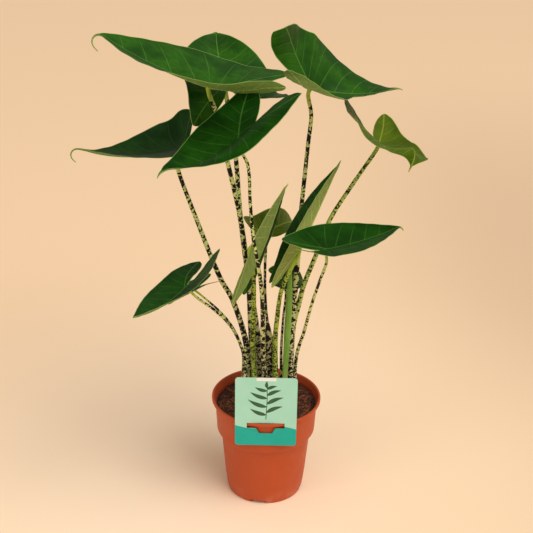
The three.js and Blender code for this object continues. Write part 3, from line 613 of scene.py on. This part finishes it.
# The two upright leaves have a slit between their lobes, as wide as their notch to each side
OF_ONE_LEAF = {"03": {"curl_start": 0.83}, "05": {"rib_spread": (1.3, 1.0)},
               "06": {"curl_start": 0.5, "young": True}, "07": {"notch": 4.2}, "09": {"notch": 4}}
LEAVES = [dict(zip(LEAF_COLUMNS, row), **OF_ONE_LEAF.get(row[0], {})) for row in LEAF_TABLE]
BLADE_THICKNESS = 0.75
EDGE_THICKNESS = 0.4
RIB_START = 0.9
RIB_GROWTH = 0.02
RIB_RUN_OUT = 2.4
TAIL_HALF_WIDTH = 2.8
BASE_WIDTH_SHARE = 0.97
GROWN_HALF_WIDTH = 80
WIDEST_HALF_WIDTH = 87
COLUMNS = 30
COLUMN_CROWDING = 1.18
STATION_STEP = 2.6
VEINS_AHEAD = 5.4
VEIN_SLANT = 0.53
LEAF_SHARP_ANGLE = 60


def smooth(t):
    t = np.clip(t, 0, 1)
    return t * t * (3 - 2 * t)


def tipward(leaf, x):
    return np.clip((leaf["front"] - x) / leaf["tail"], 0, 1) ** 0.8


def front_width(leaf, x):
    """Half width of the blade ahead of its stalk."""
    t = np.minimum(1, x / (leaf["front"] - leaf["tail"]))
    body = leaf["half_width"] * (BASE_WIDTH_SHARE + 0.1 * t - 0.07 * t ** 2) * (1 - t ** 1.75)
    return body + TAIL_HALF_WIDTH * tipward(leaf, x) * smooth(t)


def lobe_outer(leaf, side, t):
    tip = leaf["lobe_tips"][side]
    return tip + (leaf["half_width"] * BASE_WIDTH_SHARE - tip) * np.clip(1 - t ** 2, 0, 1) ** 0.62


def lobe_inner(leaf, side, t):
    opened = np.clip((t - leaf["joined"]) / (1 - leaf["joined"]), 0, 1)
    inner = leaf["lobe_tips"][side] * (1 - np.sqrt(1 - opened))
    if "notch" in leaf:
        inner = np.where(t > leaf["joined"], np.maximum(inner, leaf["notch"]), inner)
    return inner


def blade_axes(leaf):
    heading, pitch, roll = (math.radians(leaf[k]) for k in ("heading", "pitch", "roll"))
    forward = np.array([math.cos(heading) * math.cos(pitch), math.sin(heading) * math.cos(pitch),
                        math.sin(pitch)])
    level = np.array([-math.sin(heading), math.cos(heading), 0])
    left = level * math.cos(roll) + np.cross(forward, level) * math.sin(roll)
    return forward, left, np.cross(forward, left)


def spine_angles(leaf, side, x):
    behind = (-x / leaf["lobes"] - leaf["joined"]) / 0.5
    share = x / leaf["front"]
    curl_start = leaf.get("curl_start", 1 - 1.3 * leaf["tail"] / leaf["front"])
    curled = smooth((share - curl_start) / (1 - curl_start)) ** 0.8
    slope = np.where(x < 0, -leaf["lobe_drop"][side] * smooth(behind),
                     leaf["droop"] * share + leaf["curl"] * curled)
    return np.radians(slope), np.radians(np.where(x < 0, 0, leaf["sweep"] * share))


def spine(leaf, side, x):
    """Place of the midrib's line x ahead of the stalk, along forward, left and up."""
    edges = np.linspace(-leaf["lobes"], leaf["front"], 801)
    slope, turn = spine_angles(leaf, side, (edges[1:] + edges[:-1]) / 2)
    width = edges[1] - edges[0]
    parts = (np.cos(slope) * np.cos(turn), np.cos(slope) * np.sin(turn), -np.sin(slope))
    run = [np.concatenate([[0], np.cumsum(part) * width]) for part in parts]
    return [np.interp(x, edges, r) - np.interp(0, edges, r) for r in run]


def blade_point(leaf, side, x, y):
    """Flat coordinates, x ahead of the stalk and y out from the midrib, to the place on the blade."""
    ahead, aside, above = spine(leaf, side, x)
    slope, turn = spine_angles(leaf, side, x)
    behind = np.maximum(0, -x / leaf["lobes"] - leaf["joined"]) / (1 - leaf["joined"])
    fold = leaf["fold"][side]
    start = fold + (leaf["lobe_fold"][side] - fold) * smooth(behind)
    start = np.radians(start + leaf["tip_fold"][side] * smooth(x / leaf["front"]))
    bend = math.radians(leaf["edge"][side] - fold) / leaf["half_width"] or 1e-6
    out = (np.sin(start + bend * y) - np.sin(start)) / bend
    rise = (np.cos(start) - np.cos(start + bend * y)) / bend
    twist = np.radians(leaf["twist"]) * np.maximum(0, x / leaf["front"])
    signed = out if side == 0 else -out
    sideways = signed * np.cos(twist) - rise * np.sin(twist)
    upward = signed * np.sin(twist) + rise * np.cos(twist)
    lean = np.where(x < 0, 0, slope)
    offsets = (ahead + upward * np.sin(lean) * np.cos(turn) - sideways * np.sin(turn),
               aside + upward * np.sin(lean) * np.sin(turn) + sideways * np.cos(turn),
               above + upward * np.cos(lean))
    place = np.array(leaf["at"], float)
    for offset, axis in zip(offsets, blade_axes(leaf)):
        place = place + offset[..., None] * axis
    return place


def blade_normal(leaf, side, x, y):
    small = 0.5
    here = blade_point(leaf, side, x, y)
    along = blade_point(leaf, side, x + small, y) - here
    outward = blade_point(leaf, side, x, y + small) - here
    normal = np.cross(along, outward)
    normal /= np.linalg.norm(normal, axis=-1)[..., None]
    return normal if side == 0 else -normal


def rib_thickness(leaf):
    return RIB_START + RIB_GROWTH * leaf["half_width"]


def sinus_at(leaf):
    """Where the two lobes part, behind the stalk."""
    joined = leaf["joined"] * leaf["lobes"]
    return -joined if "notch" in leaf else -max(joined, 0.09 * leaf["half_width"] + 1)


def lobe_rib(leaf, side, x, y):
    """Distance along the arching rib of a lobe, and distance from it, out from the midrib positive."""
    t = np.linspace(0, 1, 70)
    spread = leaf.get("rib_spread", (1, 1))[side]
    arch = leaf["lobe_tips"][side] * t * spread + 0.1 * leaf["half_width"] * np.sin(np.pi * t)
    line = np.stack([-t * leaf["lobes"], arch], 1)
    a, b = line[:-1], line[1:]
    reach = b - a
    length = np.linalg.norm(reach, axis=1)
    start = np.concatenate([[0], np.cumsum(length)[:-1]])
    q = np.stack([x, y], -1)[..., None, :] - a
    share = np.clip((q * reach).sum(-1) / length ** 2, 0, 1)
    gap = q - share[..., None] * reach
    distance = np.linalg.norm(gap, axis=-1)
    nearest = distance.argmin(-1)[..., None]

    def pick(values):
        return np.take_along_axis(np.broadcast_to(values, distance.shape), nearest, -1)[..., 0]

    turned_out = reach[:, 0] * q[..., 1] - reach[:, 1] * q[..., 0]
    sign = np.where(pick(turned_out) > 0, -1, 1)
    return pick(start + share * length), sign * pick(distance), start[-1]


def vein_count(leaf, side, x, y):
    """Counts the side veins: a whole number on each, from the midrib ahead and the lobe rib behind."""
    width = leaf["half_width"]
    spacing = leaf["front"] / VEINS_AHEAD
    ahead = x - VEIN_SLANT * y - 0.22 * y * y / width
    along, out, _ = lobe_rib(leaf, side, x, y)
    back = along - 0.9 * np.abs(out) + 0.25 * out * out / width
    wedge = 0.5 - np.maximum(-ahead, 0) / (np.maximum(-ahead, 0) + np.maximum(-back, 0) + 1e-6)
    behind = np.where(back > 0, -0.5 - back / (0.8 * spacing), wedge)
    return np.where(ahead > 0, 0.5 + ahead / spacing, behind)


def blade_rows(leaf):
    """Stations from the front tip back to the lobe tips."""
    body = leaf["front"] - leaf["tail"]
    fine = STATION_STEP * (0.55 + 0.45 * leaf["half_width"] / WIDEST_HALF_WIDTH)
    sinus = sinus_at(leaf)
    tail = np.linspace(leaf["front"] - 0.05, body, 10)[:-1]
    ahead = np.linspace(body, 0, max(20, round(body / fine)))
    joined = np.linspace(0, sinus, max(3, round(-sinus / fine) + 1))[1:]
    t = np.linspace(0, 1, max(18, round(1.4 * (leaf["lobes"] + sinus) / fine)))[1:]
    open_start = sinus - 0.2 if "notch" in leaf else sinus
    opened = open_start + (-leaf["lobes"] * 0.9985 - open_start) * (1 - (1 - t) ** 1.8)
    if "notch" in leaf:
        opened = np.concatenate([[open_start], opened])
    return np.concatenate([tail, ahead, joined, opened]), sinus


def mark(mesh, label, data):
    """Keeps three numbers at each point of the mesh, for its finish to read."""
    made = mesh.attributes.new(label, "FLOAT_VECTOR", "POINT")
    made.data.foreach_set("vector", np.array(data, np.float32).ravel())


def blade_mesh(leaf, seed):
    """The closed blade: veins and waves on top, the ribs below, and a wall round its edge."""
    rows, sinus = blade_rows(leaf)
    share = np.linspace(0, 1, COLUMNS) ** COLUMN_CROWDING
    width = leaf["half_width"]
    growth = width / GROWN_HALF_WIDTH
    rib = rib_thickness(leaf)
    spacing = leaf["front"] / VEINS_AHEAD
    body = leaf["front"] - leaf["tail"]
    shared = rows >= sinus - 1e-9
    ahead_width = front_width(leaf, np.maximum(rows, 0))
    t_back = np.clip(-rows / leaf["lobes"], 0, 1)
    x = np.repeat(rows[:, None], COLUMNS, 1)
    taper = np.clip(1 - x / body, 0, 1)
    hooked = smooth(5 * x / body - 4) * tipward(leaf, x)
    tops, unders, flats, ribs, rims = [], [], [], [], []
    ids = np.zeros((2, len(rows), COLUMNS), int)
    count = 0
    for side in (0, 1):
        outer = np.where(rows >= 0, ahead_width, lobe_outer(leaf, side, t_back))
        inner = np.where(shared, 0, lobe_inner(leaf, side, t_back))
        outer = np.maximum(outer, inner + 0.25)
        y = inner[:, None] + (outer - inner)[:, None] * share
        normal = blade_normal(leaf, side, x, y)
        ridge = normal[:, :1] + blade_normal(leaf, 1 - side, x[:, :1], 0 * y[:, :1])
        ridge /= np.linalg.norm(ridge, axis=-1)[..., None]
        normal[shared, :1] = ridge[shared]
        phase = vein_count(leaf, side, x, y)
        along, off_rib, rib_length = lobe_rib(leaf, side, x, y)
        inward = np.where(shared[:, None], 1 - share, np.minimum(share, 1 - share))
        to_edge = (outer - inner)[:, None] * inward
        rim_share = np.clip(1 - to_edge / (0.5 * width), 0, 1)
        lobe_taper = np.clip(1 - along / rib_length, 0, 1)
        middle = np.exp(-(y / (1.2 + 1.6 * growth * taper)) ** 2)
        side_rib = np.exp(-(off_rib / (0.8 + 1.2 * growth * lobe_taper)) ** 2) * (x < 0)
        off_vein = (phase - np.round(phase)) * spacing
        vein = np.exp(-(off_vein / (0.8 + 0.5 * growth)) ** 2) * (1 - rim_share ** 2)
        cushion = 0.5 * (1 - np.cos(2 * np.pi * phase)) * np.sin(np.pi * share)
        wave = 0.35 * growth * rim_share ** 3 * np.sin(2 * np.pi * 0.8 * phase + seed)
        lift = wave + 0.3 * growth * (cushion - np.maximum(middle, side_rib))
        lift = lift + 0.7 * np.exp(-(y / 1.5) ** 2) * hooked
        depth = np.maximum(middle * (0.35 + 0.65 * taper) * (rib - EDGE_THICKNESS),
                           side_rib * (0.2 + 0.6 * lobe_taper) * rib * 0.8)
        run_out = np.exp(-(y / 1.9) ** 2) * (RIB_RUN_OUT - EDGE_THICKNESS) * hooked
        depth = np.maximum(np.maximum(depth, run_out), 0.3 * growth * vein)
        thick = EDGE_THICKNESS + (BLADE_THICKNESS - EDGE_THICKNESS) * (1 - rim_share ** 2) + depth
        top = blade_point(leaf, side, x, y) + normal * lift[..., None]
        own = np.ones(x.shape, bool)
        own[:, 0] = (side == 0) | ~shared
        ids[side] = ids[0]
        ids[side][own] = count + np.arange(own.sum())
        count += own.sum()
        tops.append(top[own])
        unders.append((top - normal * thick[..., None])[own])
        flats.append(np.stack([x, y if side == 0 else -y], -1)[own])
        ribs.append(np.stack([phase, y, np.where(x < 2, off_rib, 99)], -1)[own])
        rims.append(np.stack([to_edge, rim_share, 0 * x + spacing], -1)[own])
    faces = []
    for side, grid in enumerate(ids):
        a, b, c, d = grid[:-1, :-1], grid[:-1, 1:], grid[1:, 1:], grid[1:, :-1]
        faces.append(np.stack([a, b, c, d] if side == 0 else [a, d, c, b], -1).reshape(-1, 4))
    faces = np.concatenate(faces)
    edges = np.concatenate([faces[:, [k, (k + 1) % 4]] for k in range(4)])
    known = set(map(tuple, edges.tolist()))
    walls = sorted((b, a, a + count, b + count) for a, b in known if (b, a) not in known)
    solid = faces.tolist() + (faces[:, ::-1] + count).tolist() + walls
    mesh = mesh_of("blade", np.concatenate(tops + unders), solid, LEAF_SHARP_ANGLE)
    flat = np.concatenate(flats)
    mark(mesh, "flat_place", [(x, y, below) for below in (0, 1) for x, y in flat])
    mark(mesh, "rib_place", np.concatenate(ribs + ribs))
    mark(mesh, "rim_place", np.concatenate(rims + rims))
    return mesh


# Veins, ribs, rim and underside of a blade, from its flat coordinates, for every green finish
pattern, _ = new_group("blade_pattern")
flat = attribute(pattern, "flat_place")
flat_x, flat_y, underside = parts_of(flat)
phase, from_midrib, from_lobe_rib = parts_of(attribute(pattern, "rib_place"))
to_edge, rim_share, spacing = parts_of(attribute(pattern, "rim_place"))
off_vein = times(calc("ABSOLUTE", minus(phase, calc("ROUND", phase))), spacing)
vein_width = step(rim_share, 0.0, 1.0, 0.625, 0.225)
veins = step(off_vein, times(vein_width, 1.8), times(vein_width, 0.5))
veins = times(veins, step(to_edge, 2.0, 7.0))
midrib = step(from_midrib, step(flat_x, 0.0, 160.0, 1.9, 0.9), 0.6)
midrib = times(midrib, step(flat_x, -14.0, -4.0))
ribs = calc("MAXIMUM", midrib, step(calc("ABSOLUTE", from_lobe_rib), 1.5, 0.4))
combed = node(pattern, "ShaderNodeCombineXYZ", {0: times(phase, 26.0), 1: flat_y}).outputs[0]
streaks = speckle(combed, 0.16, 3.0, 0.65)
cell_sockets = {"Vector": flat, "Scale": 0.42}
cells = node(pattern, "ShaderNodeTexVoronoi", cell_sockets, feature="DISTANCE_TO_EDGE").outputs[0]
net = step(cells, 0.0, 0.16)
relief = minus(plus(times(net, 0.16), times(streaks, 0.5)), times(veins, 0.45))
give_out(pattern, Ribs=ribs, Veins=veins, Rim=step(to_edge, 1.3, 0.35), Under=underside,
         Streaks=streaks, Blotch=speckle(flat, 0.022, 2.0, 0.55), Relief=relief)


def green_skin(name, dark, light, vein, rim, under, under_vein, vein_show):
    """Leaf finish: dark to light green on top, its veins and rim, and the paler underside."""
    made, tree, bsdf = new_material(name)
    out = node(tree, "ShaderNodeGroup", node_tree=pattern).outputs
    colour = mix(step(out["Blotch"], 0.35, 0.65), dark, light)
    colour = mix(step(out["Streaks"], 0.35, 0.7, 0.0, 0.45), colour, dark)
    colour = mix(times(out["Veins"], vein_show), colour, vein)
    colour = mix(times(out["Ribs"], 1.5 * vein_show), colour, vein)
    shaded = [value * 0.9 for value in under]
    back = mix(step(out["Streaks"], 0.3, 0.7), under, shaded)
    back_lines = calc("MAXIMUM", out["Ribs"], times(out["Veins"], 0.7))
    back = mix(back_lines, back, under_vein)
    colour = mix(out["Under"], colour, back)
    colour = mix(times(out["Rim"], 0.8), colour, rim)
    rough = plus(step(out["Streaks"], 0.3, 0.7, 0.42, 0.52), times(out["Under"], 0.15))
    surface(bsdf, colour, rough, 0.12)
    bump(bsdf, out["Relief"], 0.35, 0.0006)
    return made


mature_skin = green_skin("leaf_skin", (22, 66, 3), (42, 94, 8), (104, 150, 60), (146, 178, 92),
                         (120, 160, 78), (170, 198, 112), 0.3)
# A darker copy of the leaf finish: painted shade for the leaves that lie in shade among the others.
painted_shade_skin = green_skin("painted_shade_leaf_skin", (12, 52, 2), (24, 74, 5), (84, 130, 48), (132, 166, 84),
                       (108, 146, 72), (156, 186, 104), 0.3)
young_skin = green_skin("young_leaf_skin", (64, 86, 2), (88, 108, 8), (140, 158, 54), (150, 170, 70),
                        (104, 122, 40), (154, 166, 82), 0.45)
pale_skin = green_skin("pale_leaf_skin", (18, 62, 6), (40, 88, 18), (104, 148, 66), (150, 178, 98),
                       (142, 164, 82), (182, 198, 118), 0.45)

SKINS = {"01": mature_skin, "02": mature_skin, "05": mature_skin, "06": young_skin, "07": pale_skin,
         "08": young_skin, "09": pale_skin, "12": pale_skin}


def add_leaf_piece(leaf, half, mesh, slot, skin):
    name = leaf["name"]
    slot = "young_" + slot if leaf.get("young") else slot
    add_piece(f"{half}_{name}", mesh, [f"leaf_{name}_{half}"], skin)


# Leaves not listed in SKINS take the darker finish of painted shade.
for number, leaf in enumerate(LEAVES):
    skin = SKINS.get(leaf["name"], painted_shade_skin)
    add_leaf_piece(leaf, "blade", blade_mesh(leaf, number * 1.7), "leaf", skin)


# Stalks: round, tapering stems, cream to yellow-green and banded near-black like a zebra, plain just
# under the blade. They rise out of the soil in a tuft and run into the ribs of their blades.
STALK_DEPTH = 26
STALK_NECK = 9
STALK_SIDES = 28
RING_STEP = 2.5
SOFT_END = 7
STALK_UPRIGHT = 190
# Radius at the soil and under the blade, where the stalk leaves the soil, upright up to STALK_UPRIGHT,
# and the points that it runs through from there
STALKS = {
    "01": (6.3, 3.2, [(-20, 9), (-25, 14, 276), (-30, 24, 355), (-36, 24, 405), (-44, 16, 465),
           (-61, -4, 554), (-71, -15, 600), (-77, -23, 636)]),
    "02": (6.3, 3.2, [(-9, 18), (-17, 24, 270), (-27, 36, 330), (-37, 46, 393), (-44, 50, 450),
           (-51, 56, 536), (-57, 60, 582)]),
    "03": (5.4, 2.2, [(-3, -15), (-6, -28, 262), (-9, -62, 375), (-15, -74, 427), (-22, -81, 470),
           (-27, -88, 530), (-31, -92, 587)]),
    "04": (6, 3.1, [(-29, -3), (-32, 1, 254), (-54, 10, 327), (-72, 14, 360), (-111, 25, 460),
           (-135, 29, 530)]),
    "05": (6.2, 2.9, [(37, -2), (36, 2, 246), (40, 14, 326), (44, 24, 398), (46, 30, 450),
           (49, 31, 501), (54, 31, 572), (57, 30, 618)]),
    "06": (5.6, 2.9, [(37, 15), (40, 17, 281), (47, 18, 316), (54, 18, 350), (71, 18, 401),
           (89, 16, 459), (117, 14, 512), (148, 11, 566)]),
    "07": (5.8, 3.1, [(-18, -11), (-22, -14, 266), (-21, -20, 340), (-22, -24, 385)]),
    "08": (7.6, 2.2, [(5, 8), (3, 14, 254), (-3, 30, 304), (-5, 46, 330), (-5, 74, 378)]),
    "09": (5.8, 3, [(14, -12), (12, -16, 273), (14, -23, 311), (19, -29, 361), (26, -35, 386),
           (36, -41, 414)]),
    "10": (3.6, 2.1, [(43, -18), (45, -30, 255), (54, -52, 307), (63, -74, 364), (73, -92, 413),
           (81, -102, 448)]),
    "11": (3.4, 2, [(-33, -16), (-34, -17, 240), (-53, -24, 296), (-78, -33, 330),
           (-105, -41, 356)]),
    "12": (2.8, 1.6, [(-37, 6), (-38, 6, 240), (-54, 2, 285), (-74, -2, 314), (-98, -7, 340)]),
    "13": (3.2, 1.7, [(23, 5), (22, 10, 238), (24, 22, 290), (27, 33, 330)]),
}
SHEATH_TOPS = {"08": 0.4}


def curve_through(points):
    """Smooth curve through the points, evenly dense, and its distance along."""
    p = np.array(points, float)
    p = np.concatenate([[2 * p[0] - p[1]], p, [2 * p[-1] - p[-2]]])
    dense = []
    for p0, p1, p2, p3 in zip(p, p[1:], p[2:], p[3:]):
        d0, d1, d2 = (math.sqrt(np.linalg.norm(v)) for v in (p1 - p0, p2 - p1, p3 - p2))
        start = ((p1 - p0) / d0 - (p2 - p0) / (d0 + d1) + (p2 - p1) / d1) * d1
        end = ((p2 - p1) / d1 - (p3 - p1) / (d1 + d2) + (p3 - p2) / d2) * d1
        t = np.linspace(0, 1, 80, endpoint=False)[:, None]
        dense.append(p1 + start * t + (3 * (p2 - p1) - 2 * start - end) * t ** 2
                     + (2 * (p1 - p2) + start + end) * t ** 3)
    dense = np.concatenate(dense + [p[-2:-1]])
    run = np.concatenate([[0], np.cumsum(np.linalg.norm(np.diff(dense, axis=0), axis=1))])
    count = max(8, round(run[-1] / RING_STEP))
    even = np.linspace(0, run[-1], count + 1)
    return np.stack([np.interp(even, run, dense[:, k]) for k in range(3)], 1), even


def tube(path, radii, sides, shape):
    """Closed tube along a path; shape gives a factor on the radius for each ring and angle."""
    tangent = np.gradient(path, axis=0)
    tangent /= np.linalg.norm(tangent, axis=1)[:, None]
    aim = np.array([1.0, 0.0, 0.0])
    angles = np.arange(sides) * 2 * math.pi / sides
    points, around = [], []
    for ring, (place, along, radius) in enumerate(zip(path, tangent, radii)):
        aim = aim - along * (aim @ along)
        aim /= np.linalg.norm(aim)
        across = np.cross(along, aim)
        reach = radius * shape(ring, angles)
        outward = np.cos(angles)[:, None] * aim + np.sin(angles)[:, None] * across
        points += list(place + reach[:, None] * outward)
        around += [polar(radius, a) for a in angles]
    faces = []
    for ring in range(len(path) - 1):
        low, high = ring * sides, (ring + 1) * sides
        for i in range(sides):
            j = (i + 1) % sides
            faces.append((low + i, low + j, high + j, high + i))
    faces.append(tuple(range(sides))[::-1])
    faces.append(tuple((len(path) - 1) * sides + i for i in range(sides)))
    return points, faces, around


def stalk_mesh(leaf, seed):
    forward, _, up = blade_axes(leaf)
    at = np.array(leaf["at"], float)
    low, high, (start, *route) = STALKS[leaf["name"]]
    rib = rib_thickness(leaf)
    if "notch" in leaf:
        end = at + forward * (sinus_at(leaf) - 0.5) - up * 0.6 * rib
        neck = end - forward * STALK_NECK
        head = [end, at - forward - up * 0.9 * rib]
    else:
        end = at - up * (rib + 0.3)
        incoming = at - np.array(route[-1], float)
        incoming -= up * (incoming @ up)
        incoming /= np.linalg.norm(incoming)
        neck = end - up * STALK_NECK - incoming * 0.6 * STALK_NECK
        head = [end]
    foot = (*start, SOIL_TOP - STALK_DEPTH)
    path, run = curve_through([foot, (*start, STALK_UPRIGHT), *route, neck, *head])
    share = run / run[-1]
    if leaf["name"] in SHEATH_TOPS:
        radii = low + (high - low) * smooth((share - SHEATH_TOPS[leaf["name"]]) / 0.16)
    else:
        radii = high + (low - high) * (1 - share) ** 1.8
    left = run[-1] - run
    if "notch" in leaf:
        radii = radii * (0.3 + 0.7 * smooth((left + 1) / (5 - sinus_at(leaf))))
    else:
        radii = radii * (1 + 0.25 * (1 - smooth(left / SOFT_END)))
        path = np.concatenate([path, [at - up * 0.45 * rib]])
        run = np.append(run, run[-1] + 1)
        radii = np.append(radii, radii[-1] * 0.8)
    turn = rng.random(3) * 6

    def channel(ring, angles):
        swell = 0.025 * np.sin(run[ring] * 0.11 + turn[0]) + 0.02 * np.sin(run[ring] * 0.31 + turn[1])
        groove = 0.05 * np.cos(angles - turn[2]) ** 8 * (np.cos(angles - turn[2]) > 0)
        return 1 + swell * 0.6 + 0.02 * np.cos(2 * angles + turn[1]) - groove

    points, faces, around = tube(path, radii, STALK_SIDES, channel)
    mesh = mesh_of("stalk", points, faces, LEAF_SHARP_ANGLE)
    total = run[-1]
    heights = np.repeat(run, STALK_SIDES)
    mark(mesh, "stalk_place", np.column_stack([around, heights + 1000 * seed]))
    mark(mesh, "stalk_ends", np.column_stack([heights, total - heights, heights / total]))
    return mesh


# Dark bands on a stalk, finer towards the soil and open towards the blade, for every banded finish
bands, bands_in = new_group("stalk_bands", "Size", "Cover", "Plain end")
place = attribute(bands, "stalk_place")
from_soil, from_blade, stalk_share = parts_of(attribute(bands, "stalk_ends"))
shaped = on_vector("DIVIDE", place, bands_in["Size"])
shaped = on_vector("MULTIPLY", shaped, (0.8, 0.8, 1.2))
large = speckle(shaped, 1.0, 1.5, 0.5, 0.9)
small = speckle(shaped, 1.9, 1.5, 0.5, 0.9)
low_part = step(from_soil, 190.0, 60.0)
field = plus(times(large, minus(1.0, low_part)), times(small, low_part))
cleared = step(from_blade, bands_in["Plain end"], 0.0, 0.0, 0.35)
limit = plus(minus(1.0, bands_in["Cover"]), cleared)
give_out(bands, Dark=step(minus(field, limit), -0.012, 0.02),
         Tint=plus(times(stalk_share, 0.8), times(speckle(place, 0.09), 0.4)),
         Relief=speckle(place, 0.7))


def banded_skin(name, low, high, top, dark, size, cover, plain_end):
    """Stalk finish: the ground runs from low through high to the plain top, under the dark bands."""
    made, tree, bsdf = new_material(name)
    sockets = {"Size": size, "Cover": cover, "Plain end": plain_end}
    out = node(tree, "ShaderNodeGroup", sockets, node_tree=bands).outputs
    ground = mix(step(out["Tint"], 0.15, 0.75), low, high)
    from_blade = parts_of(attribute(tree, "stalk_ends"))[1]
    ground = mix(step(from_blade, plain_end * 1.3, 4.0), ground, top)
    colour = mix(out["Dark"], ground, dark)
    surface(bsdf, colour, step(out["Relief"], 0.3, 0.7, 0.38, 0.5), 0.22)
    bump(bsdf, plus(out["Relief"], times(out["Dark"], 0.3)), 0.25, 0.0004)
    return made


zebra_skin = banded_skin("banded_stalk", (216, 204, 154), (196, 206, 124), (160, 184, 58),
                         (15, 11, 7), 6.2, 0.53, 34)
fine_skin = banded_skin("fine_banded_stalk", (190, 200, 98), (168, 192, 62), (158, 188, 52),
                        (44, 48, 16), 4.0, 0.49, 60)
bright_skin = banded_skin("young_banded_stalk", (196, 200, 128), (170, 194, 90), (140, 168, 50),
                          (34, 36, 12), 4.8, 0.48, 30)
sheath_skin = banded_skin("sheathed_stalk", (214, 190, 150), (196, 192, 126), (140, 162, 60),
                          (30, 20, 14), 8.5, 0.53, 30)
STALK_SKINS = {"06": bright_skin, "07": fine_skin, "08": sheath_skin, "09": fine_skin}
for number, leaf in enumerate(LEAVES):
    skin = STALK_SKINS.get(leaf["name"], zebra_skin)
    add_leaf_piece(leaf, "stalk", stalk_mesh(leaf, number), "stalk", skin)


# New leaf: still rolled into a smooth bright spear that stands among the stalks, with the free edge of
# the blade winding up it.
SPEAR_PATH = [(28, -15, SOIL_TOP - STALK_DEPTH), (28, -15, STALK_UPRIGHT), (30, -13, 271),
              (32, -8, 338), (33, -4, 386), (36, -2, 404)]
SPEAR_SIDES = 36
SPEAR_RADII = [(0, 4.6), (0.35, 4.2), (0.6, 5.2), (0.8, 4.6), (0.95, 1.8), (1, 0.5)]

spear_path, spear_run = curve_through(SPEAR_PATH)
spear_share = spear_run / spear_run[-1]
spear_radius = np.interp(spear_share, *zip(*SPEAR_RADII))


def rolled(ring, angles):
    """Spiral section: the radius drops by a step where the outer turn of the blade ends."""
    share = spear_share[ring]
    turn = (angles - 0.9 - 1.6 * share) % (2 * math.pi) / (2 * math.pi)
    open_part = smooth((share - 0.3) / 0.1)
    return 1 - 0.12 * open_part * (turn ** 6) * (share < 0.97)


spear_points, spear_faces, around = tube(spear_path, spear_radius, SPEAR_SIDES, rolled)
spear_mesh = mesh_of("new_leaf", spear_points, spear_faces, LEAF_SHARP_ANGLE)
mark(spear_mesh, "stalk_place", np.column_stack([around, np.repeat(spear_run, SPEAR_SIDES)]))
spear_skin, tree, bsdf = new_material("new_leaf_skin")
place = attribute(tree, "stalk_place")
lines = speckle(on_vector("MULTIPLY", place, (1.0, 1.0, 0.06)), 0.9, 3.0, 0.6)
colour = mix(step(lines, 0.3, 0.7), (98, 150, 44), (134, 178, 66))
colour = mix(step(parts_of(place)[2], 120.0, 40.0), colour, (176, 182, 104))
surface(bsdf, colour, step(lines, 0.3, 0.7, 0.34, 0.44))
bump(bsdf, lines, 0.2, 0.0004)
add_piece("rolled_new_leaf", spear_mesh, ["new_leaf"], spear_skin)
